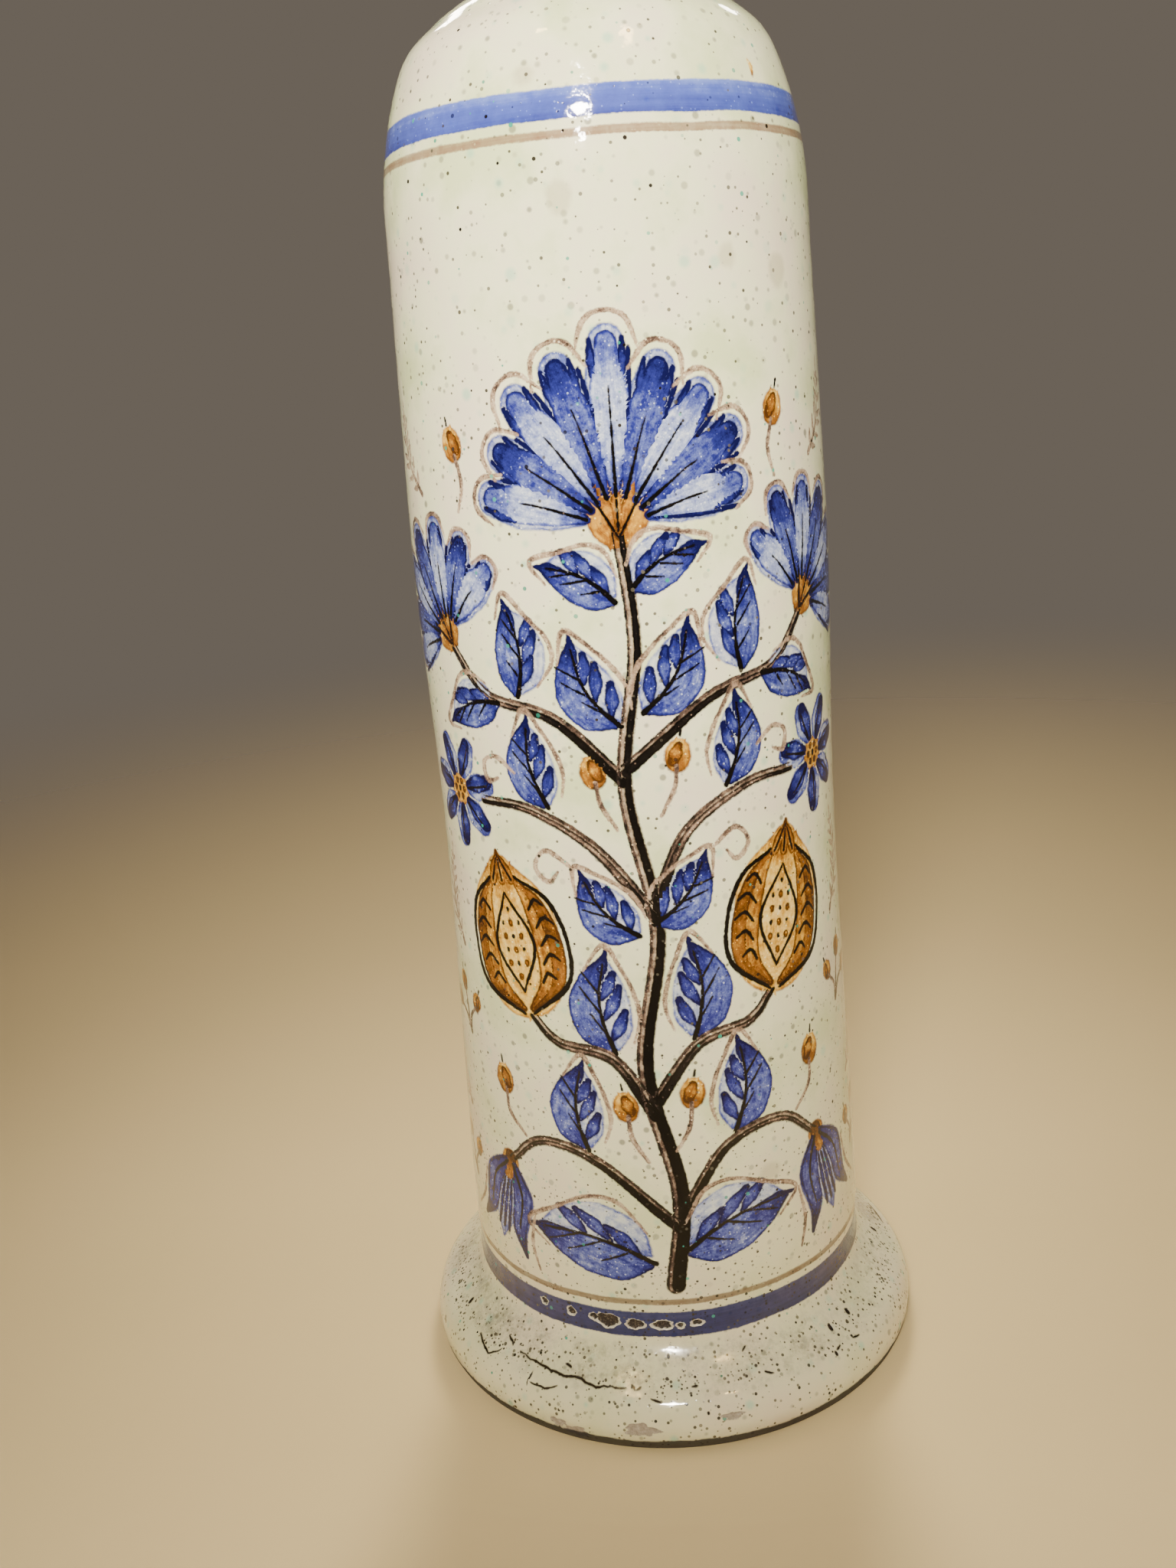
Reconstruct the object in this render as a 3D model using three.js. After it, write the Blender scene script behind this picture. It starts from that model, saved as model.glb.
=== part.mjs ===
// A tall tin-glazed earthenware bottle on a flared foot, thrown on the wheel in four sections.
// The sections are luted with slip: each sits on the one below by a rebated, half-lapped joint.
// Millimetres, +Z up. The origin is the middle of the foot ring's resting face.
import * as THREE from 'three';
import { mergeVertices } from 'three/addons/utils/BufferGeometryUtils.js';

// How finely a turned section is faceted round its axis
const FACETS = 48;

// Joints between the thrown sections
const SLIP_GAP = 0.3;
const TONGUE_HEIGHT = 5;
const FOOT_JOINT_Z = 24.8;
const BODY_JOINT_Z = 285;
const NECK_JOINT_Z = 397;

// Walls
const BODY_WALL = 6.4;
const SHOULDER_WALL = 5.8;
const NECK_WALL = 5;

// Flared foot: a hollow ring with a thick rolled lip and an unglazed resting face
const REST_INNER_RADIUS = 64.5;
const REST_OUTER_RADIUS = 74.5;
const LIP_RADIUS = 77.4;
const LIP_TOP_Z = 15.8;
const LIP_TOP_RADIUS = 72.8;
const FOOT_JOINT_RADIUS = 62.2;
const SEAT_Z = 19;
const SEAT_INNER_RADIUS = 50.5;
const REBATE_RADIUS = 57.3;

// Body: nearly a cylinder, fuller near the foot, drawn in a little half way up
const FLOOR_TOP_Z = 28;
const FLOOR_FILLET = 8;
const WAIST = { radius: 61, z: 32 };
const BODY_SWELL = { radius: 61.3, z: 58 };
const BODY_WAIST = { radius: 58.6, z: 165 };
const BODY_BELLY = { radius: 59.4, z: 238 };
const BODY_JOINT_RADIUS = 58.4;

// Shoulder: the walls close into a dome, which sweeps up into the neck
const SHOULDER_FOOT = { radius: 57.3, z: 322 };
const SHOULDER_BREAK = { radius: 56, z: 350 };
const SHOULDER_TURN = { radius: 49.4, z: 374 };
const SHOULDER_TOP = { radius: 40.2, z: 384 };
const NECK_ROOT = { radius: 29, z: 391.5 };
const NECK_JOINT_RADIUS = 24.8;

// Neck and rolled lip of the mouth
const NECK_WAIST = { radius: 21.8, z: 414 };
const MOUTH_RADIUS = 31;
const MOUTH_LIP = 3;
const HEIGHT = 452;

const point = (radius, z) => new THREE.Vector2(radius, z);
const station = ({ radius, z }) => point(radius, z);

// Points along a smooth line through a few stations
function smoothLine(stations, steps) {
  return new THREE.SplineCurve(stations).getPoints(steps);
}

function bezier(start, pullStart, pullEnd, end, steps) {
  return new THREE.CubicBezierCurve(start, pullStart, pullEnd, end).getPoints(steps);
}

// The inner face of a wall of even thickness, between two heights, from the top down
function innerFace(stations, wall, steps, lowZ, highZ) {
  const outer = new THREE.SplineCurve(stations);
  const face = [];
  for (let i = steps; i >= 0; i -= 1) {
    const t = i / steps;
    const along = outer.getTangent(t);
    const inwards = point(-along.y, along.x);
    face.push(outer.getPoint(t).addScaledVector(inwards, wall));
  }
  return face.filter((p) => p.y > lowZ && p.y < highZ);
}

// The top of a lower section: a ledge over the outer half of its wall, and a tongue on the inner half
function lapTongue(radius, wall, z) {
  const middle = radius - wall / 2;
  const tip = z + TONGUE_HEIGHT;
  return [point(radius, z), point(middle, z), point(middle, tip), point(radius - wall, tip)];
}

// The foot of an upper section, which drops over that tongue and bears on the ledge
function lapSocket(radius, wall, z) {
  const middle = radius - wall / 2 + SLIP_GAP;
  const roof = z + TONGUE_HEIGHT + SLIP_GAP;
  return [point(radius - wall, roof), point(middle, roof), point(middle, z), point(radius, z)];
}

// A section turned on the wheel: its outline runs up the outside and down the inside
function turned(name, outline, material) {
  const closed = outline.filter((p, i) => i === 0 || p.distanceTo(outline[i - 1]) > 1e-6);
  const first = closed[0];
  const last = closed[closed.length - 1];
  if (first.x > 0 && first.distanceTo(last) > 1e-6) closed.push(first.clone());
  const turnedShape = new THREE.LatheGeometry(closed, FACETS);
  turnedShape.deleteAttribute('normal');
  turnedShape.deleteAttribute('uv');
  const geometry = mergeVertices(turnedShape, 1e-4);
  geometry.rotateX(Math.PI / 2);
  geometry.computeVertexNormals();
  const mesh = new THREE.Mesh(geometry, material);
  mesh.name = name;
  return mesh;
}

function footOutline() {
  const lip = bezier(
    point(REST_OUTER_RADIUS, 0),
    point(LIP_RADIUS + 1.1, 2),
    point(LIP_RADIUS + 0.9, LIP_TOP_Z - 4.2),
    point(LIP_TOP_RADIUS, LIP_TOP_Z),
    8,
  );
  const flare = bezier(
    point(LIP_TOP_RADIUS, LIP_TOP_Z),
    point(LIP_TOP_RADIUS - 4.4, LIP_TOP_Z + 3.3),
    point(FOOT_JOINT_RADIUS + 1.9, FOOT_JOINT_Z - 2.7),
    point(FOOT_JOINT_RADIUS, FOOT_JOINT_Z),
    7,
  );
  const seat = [
    point(REBATE_RADIUS, FOOT_JOINT_Z),
    point(REBATE_RADIUS, SEAT_Z),
    point(SEAT_INNER_RADIUS, SEAT_Z),
  ];
  const hollow = bezier(
    point(SEAT_INNER_RADIUS, SEAT_Z),
    point(SEAT_INNER_RADIUS + 1.5, SEAT_Z - 7),
    point(REST_INNER_RADIUS - 5, 5),
    point(REST_INNER_RADIUS, 0),
    5,
  );
  return [...lip, ...flare, ...seat, ...hollow];
}

function bodyOutline() {
  const plateRadius = REBATE_RADIUS - SLIP_GAP;
  const undersideZ = SEAT_Z + SLIP_GAP;
  const sweep = bezier(
    point(FOOT_JOINT_RADIUS, FOOT_JOINT_Z),
    point(FOOT_JOINT_RADIUS - 1, FOOT_JOINT_Z + 1.4),
    point(WAIST.radius, WAIST.z - 3.4),
    station(WAIST),
    3,
  );
  const stations = [
    station(WAIST),
    station(BODY_SWELL),
    station(BODY_WAIST),
    station(BODY_BELLY),
    point(BODY_JOINT_RADIUS, BODY_JOINT_Z),
  ];
  const plate = [
    point(0, undersideZ),
    point(plateRadius, undersideZ),
    point(plateRadius, FOOT_JOINT_Z),
  ];
  const cove = FLOOR_TOP_Z + FLOOR_FILLET;
  const inner = innerFace(stations, BODY_WALL, 10, cove + 4, BODY_JOINT_Z);
  const wallAtCove = inner[inner.length - 1].x;
  const fillet = new THREE.EllipseCurve(
    wallAtCove - FLOOR_FILLET, cove, FLOOR_FILLET, FLOOR_FILLET, 0, -Math.PI / 2, true,
  ).getPoints(4);
  return [
    ...plate,
    ...sweep,
    ...smoothLine(stations, 12),
    ...lapTongue(BODY_JOINT_RADIUS, BODY_WALL, BODY_JOINT_Z),
    ...inner,
    ...fillet,
    point(0, FLOOR_TOP_Z),
  ];
}

function shoulderOutline() {
  const stations = [
    point(BODY_JOINT_RADIUS, BODY_JOINT_Z),
    station(SHOULDER_FOOT),
    station(SHOULDER_BREAK),
    station(SHOULDER_TURN),
    station(SHOULDER_TOP),
    station(NECK_ROOT),
    point(NECK_JOINT_RADIUS, NECK_JOINT_Z),
  ];
  const socketTop = BODY_JOINT_Z + TONGUE_HEIGHT + SLIP_GAP;
  return [
    ...lapSocket(BODY_JOINT_RADIUS, BODY_WALL, BODY_JOINT_Z),
    ...smoothLine(stations, 20),
    ...lapTongue(NECK_JOINT_RADIUS, NECK_WALL, NECK_JOINT_Z),
    ...innerFace(stations, SHOULDER_WALL, 13, socketTop + 2, NECK_JOINT_Z - 3),
  ];
}

function neckOutline() {
  const lipZ = HEIGHT - MOUTH_LIP;
  const lipCentre = MOUTH_RADIUS - MOUTH_LIP;
  const rise = smoothLine([
    point(NECK_JOINT_RADIUS, NECK_JOINT_Z),
    station(NECK_WAIST),
    point(NECK_WAIST.radius + 2.4, NECK_WAIST.z + 18),
    point(MOUTH_RADIUS, lipZ - 1.2),
  ], 11);
  const roll = new THREE.EllipseCurve(
    lipCentre, lipZ, MOUTH_LIP, MOUTH_LIP, 0, Math.PI, false,
  ).getPoints(6);
  const throat = smoothLine([
    point(lipCentre - MOUTH_LIP, lipZ - 1),
    point(NECK_WAIST.radius - NECK_WALL + 1.6, NECK_WAIST.z + 16),
    point(NECK_WAIST.radius - NECK_WALL, NECK_WAIST.z),
    point(NECK_JOINT_RADIUS - NECK_WALL, NECK_JOINT_Z + TONGUE_HEIGHT + SLIP_GAP),
  ], 8);
  return [
    ...lapSocket(NECK_JOINT_RADIUS, NECK_WALL, NECK_JOINT_Z),
    ...rise,
    ...roll,
    ...throat,
  ];
}

// One tin glaze covers all the sections. It is thinner and greyer towards the foot.
function tinGlaze(color) {
  return new THREE.MeshStandardMaterial({ color, roughness: 0.18, metalness: 0 });
}

const bottle = new THREE.Group();
bottle.add(turned('foot', footOutline(), tinGlaze(0xd6cdb9)));
bottle.add(turned('body', bodyOutline(), tinGlaze(0xded8ca)));
bottle.add(turned('shoulder', shoulderOutline(), tinGlaze(0xe6e1d3)));
bottle.add(turned('neck', neckOutline(), tinGlaze(0xe8e3d6)));

export default bottle;
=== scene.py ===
"""A tall tin-glazed earthenware bottle: four thrown sections, glazed as one and painted by hand.

Shapes are worked out in millimetres round the bottle's axis, and scaled to metres as a section is finished.
A place on the wall is (s, z), where s is the way round at a radius of 60 mm: 0 in front, more to the right.
"""
import math

import bmesh
import bpy
import numpy as np
from mathutils import Matrix, Vector


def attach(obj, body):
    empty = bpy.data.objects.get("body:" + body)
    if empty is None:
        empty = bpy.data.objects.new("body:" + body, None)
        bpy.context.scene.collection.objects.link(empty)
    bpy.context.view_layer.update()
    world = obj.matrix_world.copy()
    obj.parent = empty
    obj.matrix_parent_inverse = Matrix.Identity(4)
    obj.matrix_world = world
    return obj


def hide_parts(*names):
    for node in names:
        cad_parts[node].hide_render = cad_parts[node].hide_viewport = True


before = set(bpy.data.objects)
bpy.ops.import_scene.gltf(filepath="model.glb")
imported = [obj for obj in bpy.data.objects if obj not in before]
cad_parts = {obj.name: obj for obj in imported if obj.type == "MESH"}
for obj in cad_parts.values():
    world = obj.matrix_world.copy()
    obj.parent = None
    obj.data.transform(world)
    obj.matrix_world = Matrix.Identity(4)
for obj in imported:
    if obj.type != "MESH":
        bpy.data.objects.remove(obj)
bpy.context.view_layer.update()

MM = 0.001

# Joints and walls of the four sections
SLIP_GAP = 0.3
TONGUE_HEIGHT = 5
FOOT_JOINT_Z = 24.8
BODY_JOINT_Z = 285
NECK_JOINT_Z = 397
BODY_WALL = 6.4
SHOULDER_WALL = 5.8
NECK_WALL = 5

# Foot
REST_INNER_RADIUS = 64.5
REST_OUTER_RADIUS = 74.5
LIP_RADIUS = 77.4
LIP_TOP_Z = 15.8
LIP_TOP_RADIUS = 72.8
FOOT_JOINT_RADIUS = 62.2
SEAT_Z = 19
SEAT_INNER_RADIUS = 50.5
REBATE_RADIUS = 57.3

# Body, as (radius, height)
FLOOR_TOP_Z = 28
FLOOR_FILLET = 8
WAIST = (61, 32)
BODY_SWELL = (61.3, 58)
BODY_WAIST = (58.6, 165)
BODY_BELLY = (59.4, 238)
BODY_JOINT = (58.4, BODY_JOINT_Z)

# Shoulder and neck, as (radius, height)
SHOULDER_FOOT = (57.3, 322)
SHOULDER_BREAK = (56, 350)
SHOULDER_TURN = (49.4, 374)
SHOULDER_TOP = (40.2, 384)
NECK_ROOT = (29, 391.5)
NECK_JOINT = (24.8, NECK_JOINT_Z)
NECK_WAIST = (21.8, 414)
MOUTH_RADIUS = 31
MOUTH_LIP = 3
HEIGHT = 452

# Fineness: steps in a curve of the outline, columns round the bottle, and heights of the rows in mm
FINE = 60
COLUMNS = 192
ROW_HEIGHT = 2.0
INNER_ROW_HEIGHT = 10.0
# Edges that turn by more degrees than this stay sharp
SHARP_ANGLE = 50

# The radius at which the painting is laid out flat, and the way round at it
PAINT_RADIUS = 60.0
ROUND = 2 * math.pi * PAINT_RADIUS
# How far down inside the mouth the brush could reach
BRUSH_REACH = 6


def bezier(start, pull_start, pull_end, end, steps):
    """Points on a cubic curve that leaves its start and reaches its end in line with the pulls."""
    t = np.linspace(0, 1, steps + 1)[:, None]
    start, pull_start, pull_end, end = (np.array(p, float) for p in (start, pull_start, pull_end, end))
    return ((1 - t) ** 3 * start + 3 * (1 - t) ** 2 * t * pull_start
            + 3 * (1 - t) * t ** 2 * pull_end + t ** 3 * end)


def smooth_line(stations, steps):
    """Points on a uniform Catmull-Rom curve through stations, which stops at its end stations."""
    p = np.array(stations, float)
    p = np.vstack([p[:1], p, p[-1:]])
    line = []
    for progress in np.linspace(0, len(stations) - 1, steps + 1):
        i = min(int(progress), len(stations) - 2)
        t = progress - i
        a, b, c, d = p[i:i + 4]
        slope_b, slope_c = (c - a) / 2, (d - b) / 2
        line.append((2 * b - 2 * c + slope_b + slope_c) * t ** 3
                    + (-3 * b + 3 * c - 2 * slope_b - slope_c) * t ** 2 + slope_b * t + b)
    return np.array(line)


def length_along(line):
    """The length of a line up to each of its points."""
    return np.concatenate([[0], np.cumsum(np.hypot(*np.diff(line, axis=0).T))])


def evenly(line, spacing):
    """The same line with its points spacing apart."""
    length = length_along(line)
    places = np.linspace(0, length[-1], max(2, round(length[-1] / spacing)) + 1)
    return np.stack([np.interp(places, length, column) for column in line.T], 1)


def moved_left(line, distance):
    """A line moved to its left by a distance, which may differ from point to point."""
    along = np.gradient(line, axis=0)
    along /= np.hypot(*along.T)[:, None]
    return line + distance * np.stack([-along[:, 1], along[:, 0]], 1)


# The outside of the bottle, from the resting edge to the top of the mouth
foot_side = np.vstack([
    bezier((REST_OUTER_RADIUS, 0), (LIP_RADIUS + 1.1, 2), (LIP_RADIUS + 0.9, LIP_TOP_Z - 4.2),
           (LIP_TOP_RADIUS, LIP_TOP_Z), FINE),
    bezier((LIP_TOP_RADIUS, LIP_TOP_Z), (LIP_TOP_RADIUS - 4.4, LIP_TOP_Z + 3.3),
           (FOOT_JOINT_RADIUS + 1.9, FOOT_JOINT_Z - 2.7), (FOOT_JOINT_RADIUS, FOOT_JOINT_Z), FINE)[1:],
])
body_sweep = bezier((FOOT_JOINT_RADIUS, FOOT_JOINT_Z), (FOOT_JOINT_RADIUS - 1, FOOT_JOINT_Z + 1.4),
                    (WAIST[0], WAIST[1] - 3.4), WAIST, FINE)
body_stations = [WAIST, BODY_SWELL, BODY_WAIST, BODY_BELLY, BODY_JOINT]
body_side = np.vstack([body_sweep, smooth_line(body_stations, 6 * FINE)[1:]])
shoulder_stations = [BODY_JOINT, SHOULDER_FOOT, SHOULDER_BREAK, SHOULDER_TURN, SHOULDER_TOP, NECK_ROOT,
                     NECK_JOINT]
shoulder_side = smooth_line(shoulder_stations, 6 * FINE)
lip_z = HEIGHT - MOUTH_LIP
lip_centre = MOUTH_RADIUS - MOUTH_LIP
neck_side = smooth_line([NECK_JOINT, NECK_WAIST, (NECK_WAIST[0] + 2.4, NECK_WAIST[1] + 18),
                         (MOUTH_RADIUS, lip_z - 1.2)], 4 * FINE)
turn = np.linspace(0, math.pi, FINE)
mouth_roll = np.stack([lip_centre + MOUTH_LIP * np.cos(turn), lip_z + MOUTH_LIP * np.sin(turn)], 1)
outside = np.vstack([foot_side, body_side[1:], shoulder_side[1:], neck_side[1:], mouth_roll[:FINE // 2]])


def wall(stations, thickness, low, high):
    """The inner face of a wall of even thickness between two heights, from the top down."""
    face = moved_left(smooth_line(stations, 6 * FINE), thickness)
    face = face[(face[:, 1] > low) & (face[:, 1] < high)]
    return evenly(face[::-1], INNER_ROW_HEIGHT)


def tongue(joint, thickness):
    """The ledge and tongue at the top of a lower section."""
    radius, z = joint
    middle = radius - thickness / 2
    tip = z + TONGUE_HEIGHT
    return [(middle, z), (middle, tip), (radius - thickness, tip)]


def socket(joint, thickness):
    """The rebate at the bottom of an upper section, which drops over that tongue."""
    radius, z = joint
    middle = radius - thickness / 2 + SLIP_GAP
    roof = z + TONGUE_HEIGHT + SLIP_GAP
    return [(radius - thickness, roof), (middle, roof), (middle, z)]


def place(points):
    """(s, z) of points in mm."""
    return np.arctan2(points[:, 0], -points[:, 1]) * PAINT_RADIUS, points[:, 2]


# Faults in the glaze, as (s, z, half width, half height) in mm

# Burst blisters in the foot's blue band
BLISTERS = [
    (-40.8, 32.1, 1.2, 1.1), (-31.1, 32.0, 1.3, 1.4), (-23.9, 32.0, 1.2, 1.1), (-19.6, 31.6, 3.4, 2.2),
    (-11.4, 31.2, 2.5, 1.5), (-3.7, 31.1, 2.7, 1.4), (1.5, 30.7, 1.0, 0.8), (6.3, 31.1, 1.6, 0.9),
    (131.0, 31.2, 2.2, 1.4), (136.6, 30.8, 1.2, 1.0), (-142.0, 31.2, 1.6, 1.2), (-150.0, 32.0, 1.1, 0.9),
]
# Flakes off the foot's lip, down to the clay
CHIPS = [
    (11.5, 10.4, 2.5, 1.0), (-9.3, 8.0, 3.8, 1.9), (-24.4, 4.6, 3.0, 1.6), (-29.0, 6.2, 2.2, 1.2),
    (78.0, 5.2, 2.6, 1.2), (-96.0, 4.4, 3.4, 1.6), (158.0, 6.4, 2.4, 1.1),
]
# Thumb marks, where the raw glaze was touched
THUMB_MARKS = [
    (-9.0, 336.5, 3.6, 4.4), (-16.9, 364.2, 3.4, 2.6), (34.3, 321.0, 3.0, 3.4), (52.6, 317.3, 4.0, 4.6),
    (31.0, 74.0, 4.0, 3.0), (-120.0, 330.0, 4.0, 4.6), (128.0, 342.0, 3.4, 3.8), (-160.0, 60.0, 4.2, 3.4),
]
# Each kind of fault, with how ragged its edge is
FAULTS = {"blister": (BLISTERS, 0.14), "chip": (CHIPS, 0.3), "thumb": (THUMB_MARKS, 0.1)}
FAR_OUTSIDE = -9.0
# How far the traces of throwing go in and out. The outside is drawn in by as much, to stay in its outline.
THROWING = 0.2


def fault_depth(kind, s, z):
    """How deep points lie in the nearest fault of a kind, in mm: 0 at its edge and negative outside it."""
    spots, roughness = FAULTS[kind]
    inside = np.full(len(s), FAR_OUTSIDE)
    for number, (spot_s, spot_z, half_width, half_height) in enumerate(spots):
        across = ((s - spot_s + ROUND / 2) % ROUND - ROUND / 2) / half_width
        up = (z - spot_z) / half_height
        way = np.arctan2(up, across)
        edge = 1 + roughness * (np.sin(3 * way + 2.1 * number) + 0.7 * np.sin(5 * way + number)
                                + 0.5 * np.sin(8 * way + 3.3 * number)) / 2
        inside = np.maximum(inside, (1 - np.hypot(across, up) / edge) * min(half_width, half_height))
    return inside


def skin(s, z):
    """The radius of the glazed outside at (s, z), with the traces of throwing, blisters and chips."""
    angle = s / PAINT_RADIUS
    radius = np.interp(z, outside[:, 1], outside[:, 0])
    uneven = (0.10 * np.sin(2 * angle + z / 70) + 0.06 * np.sin(3 * angle - z / 38 + 1)
              + 0.035 * np.sin(2 * math.pi * z / 11 + angle) * np.sin(angle + z / 50))
    radius = radius - THROWING + np.clip(uneven, -THROWING, 0.95 * THROWING)
    blister = fault_depth("blister", s, z)
    rim = np.exp(-((blister + 0.25) / 0.22) ** 2)
    radius = radius + 0.25 * rim - 0.7 * np.clip((blister + 0.05) / 0.45, 0, 1)
    chip = fault_depth("chip", s, z)
    return radius - 0.35 * np.clip(chip / 0.4, 0, 1)


def on_outside(points):
    """Which points lie on the glazed outside. Near the foot, blisters and chips reach deeper into it."""
    radius = np.hypot(points[:, 0], points[:, 1])
    deepest = np.where(points[:, 2] < WAIST[1] + 20, 1.4, 0.8)
    return radius > np.interp(points[:, 2], outside[:, 1], outside[:, 0]) - deepest


# The painting in layers, and the cracks. A stroke is a line in mm with a half width and a tone at each of its
# points. Its mark is its number plus this many times its pigment, so that the glaze can tell both from it.
strokes = {"wash": [], "brush": [], "line": [], "crack": []}
COBALT, OCHRE, MANGANESE = 0, 1, 2
STROKES_A_PIGMENT = 10000
# Where strokes go: so far round the bottle, mirrored where hand is -1, and lifted
easel = {"centre": 0.0, "hand": 1.0, "lift": 0.0}
# How a painter's hand varies
hand = np.random.default_rng(11)


def flowing(points, step=1.3):
    """Points about step apart on a curve through points."""
    p = np.array(points, float)
    ends = np.vstack([2 * p[0] - p[1], p, 2 * p[-1] - p[-2]])
    line = []
    for a, b, c, d in zip(ends, ends[1:], ends[2:], ends[3:]):
        t = np.linspace(0, 1, max(2, int(np.hypot(*(c - b)) / step) + 1), endpoint=False)[:, None]
        line.append(0.5 * (2 * b + (c - a) * t + (2 * a - 5 * b + 4 * c - d) * t ** 2
                           + (3 * b - a - 3 * c + d) * t ** 3))
    line.append(p[-1:])
    return np.vstack(line)


def stroke(layer, points, half, tone=0.5, pigment=COBALT):
    """One stroke of the brush. Half widths and tones are spread evenly over its length."""
    line = flowing([(easel["centre"] + easel["hand"] * s, z + easel["lift"]) for s, z in points])
    length = length_along(line)
    share = length / length[-1]
    number = sum(len(done) for done in strokes.values()) + 1
    half, tone = np.atleast_1d(half), np.atleast_1d(tone)
    strokes[layer].append({
        "line": line,
        "half": np.interp(share, np.linspace(0, 1, len(half)), half),
        "tone": np.interp(share, np.linspace(0, 1, len(tone)), tone),
        "along": length,
        "mark": pigment * STROKES_A_PIGMENT + number,
    })


def ahead(point, heading, forward, left=0.0):
    """The point that lies forward and to the left of another, looking along a heading in degrees."""
    turned_by = math.radians(heading)
    return (point[0] + forward * math.cos(turned_by) - left * math.sin(turned_by),
            point[1] + forward * math.sin(turned_by) + left * math.cos(turned_by))


def way_from(start, end):
    """The heading from one point to another, in degrees."""
    return math.degrees(math.atan2(end[1] - start[1], end[0] - start[0]))


def beside(points, left):
    """A curve that runs beside the one through points, with its distance to the left at either end."""
    line = flowing(points, 4)
    return moved_left(line, np.linspace(*left, len(line))[:, None])


def dot(layer, point, half, tone=0.9, pigment=COBALT):
    """A round touch of the brush."""
    stroke(layer, [point, ahead(point, 90, 0.3)], half, tone, pigment)


def stalk(points, thick, thin, black):
    """A stem: a tan stroke from a full brush, with dry manganese black dragged along one side of it."""
    stroke("wash", points, [thick, thin], [0.42, 0.26], MANGANESE)
    shaded = beside(points, (-0.3 * thick, -0.3 * thin))
    stroke("brush", shaded, [0.78 * thick, 0.7 * thin, 0.5 * thin], black, MANGANESE)
    lit = beside(points, (0.9 * thick, 0.95 * thin))
    stroke("line", lit, [0.3, 0.45, 0.25], [0.75, 0.5, 0.7], MANGANESE)


def tendril(points):
    """A thin tan shoot that wanders into a bare place."""
    stroke("line", points, [0.4, 0.85, 0.6, 0.9, 0.45], [0.18, 0.34, 0.24, 0.38], MANGANESE)


def contour(points):
    """A soft tan line that follows the outside of a leaf or flower."""
    stroke("line", points, [0.35, 0.75, 0.6, 0.8, 0.35], [0.22, 0.36, 0.26], MANGANESE)


def leaf(point, heading, length, bend):
    """An almond leaf: pale above its rib with a few full dabs, and one deep crescent of blue below it."""
    length *= hand.uniform(0.95, 1.07)
    heading += hand.uniform(-5, 5)

    def rib(share, left=0.0):
        bow = 0.9 * bend * length * math.sin(math.pi * share)
        return ahead(point, heading, length * share, bow + left)

    def breadth(share):
        return 0.32 * length * math.sin(math.pi * min(share, 0.99) ** 0.82) ** 0.85

    wide = [breadth(t) for t in (0.25, 0.5, 0.75)]
    stroke("wash", [rib(t, breadth(t) * 0.44) for t in (0.05, 0.25, 0.5, 0.75, 0.96)],
           [0.7] + [0.6 + 0.48 * w for w in wide] + [0.5], [0.3, 0.1, 0.26])
    for t in (0.12, 0.34, 0.55):
        reach = breadth(t + 0.14)
        start = rib(t + 0.02, 0.7)
        stroke("brush", [start, ahead(start, heading, reach * 0.44, reach * 0.3),
                         ahead(start, heading, reach * 1.0, reach * 0.56)],
               [0.8, 0.24 * length ** 0.5 + 0.9, 1.2], [0.85, 0.5, 0.62, 0.95])
    stroke("brush", [rib(t, -breadth(t) * 0.5) for t in (0.03, 0.25, 0.5, 0.75, 0.98)],
           [0.9] + [0.3 + 0.5 * w for w in wide] + [0.9], [0.7, 0.5, 0.42, 0.6, 1.0])
    stroke("brush", [rib(0.7, -0.4), rib(0.88), rib(1.08)], [0.9, 1.7, 0.4], [0.7, 0.95, 1.1])
    stroke("line", [rib(0.0), rib(0.3), rib(0.6), rib(0.92)], [0.8, 0.5, 0.3], [1.1, 0.95], MANGANESE)
    for t in (0.2, 0.42, 0.62):
        reach = breadth(t) * 0.72
        start = rib(t)
        vein = [start, ahead(start, heading, reach * 0.6, -reach * 0.42),
                ahead(start, heading, reach * 1.2, -reach * 0.8)]
        stroke("line", vein, [0.45, 0.25], [1.0, 0.8], MANGANESE)
    outline = [rib(t, breadth(t) + 1.7) for t in (0.1, 0.35, 0.6, 0.85)]
    outline += [ahead(rib(1.0), heading, 3.2), rib(0.86, -breadth(0.86) - 1.5)]
    contour(outline)


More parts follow.
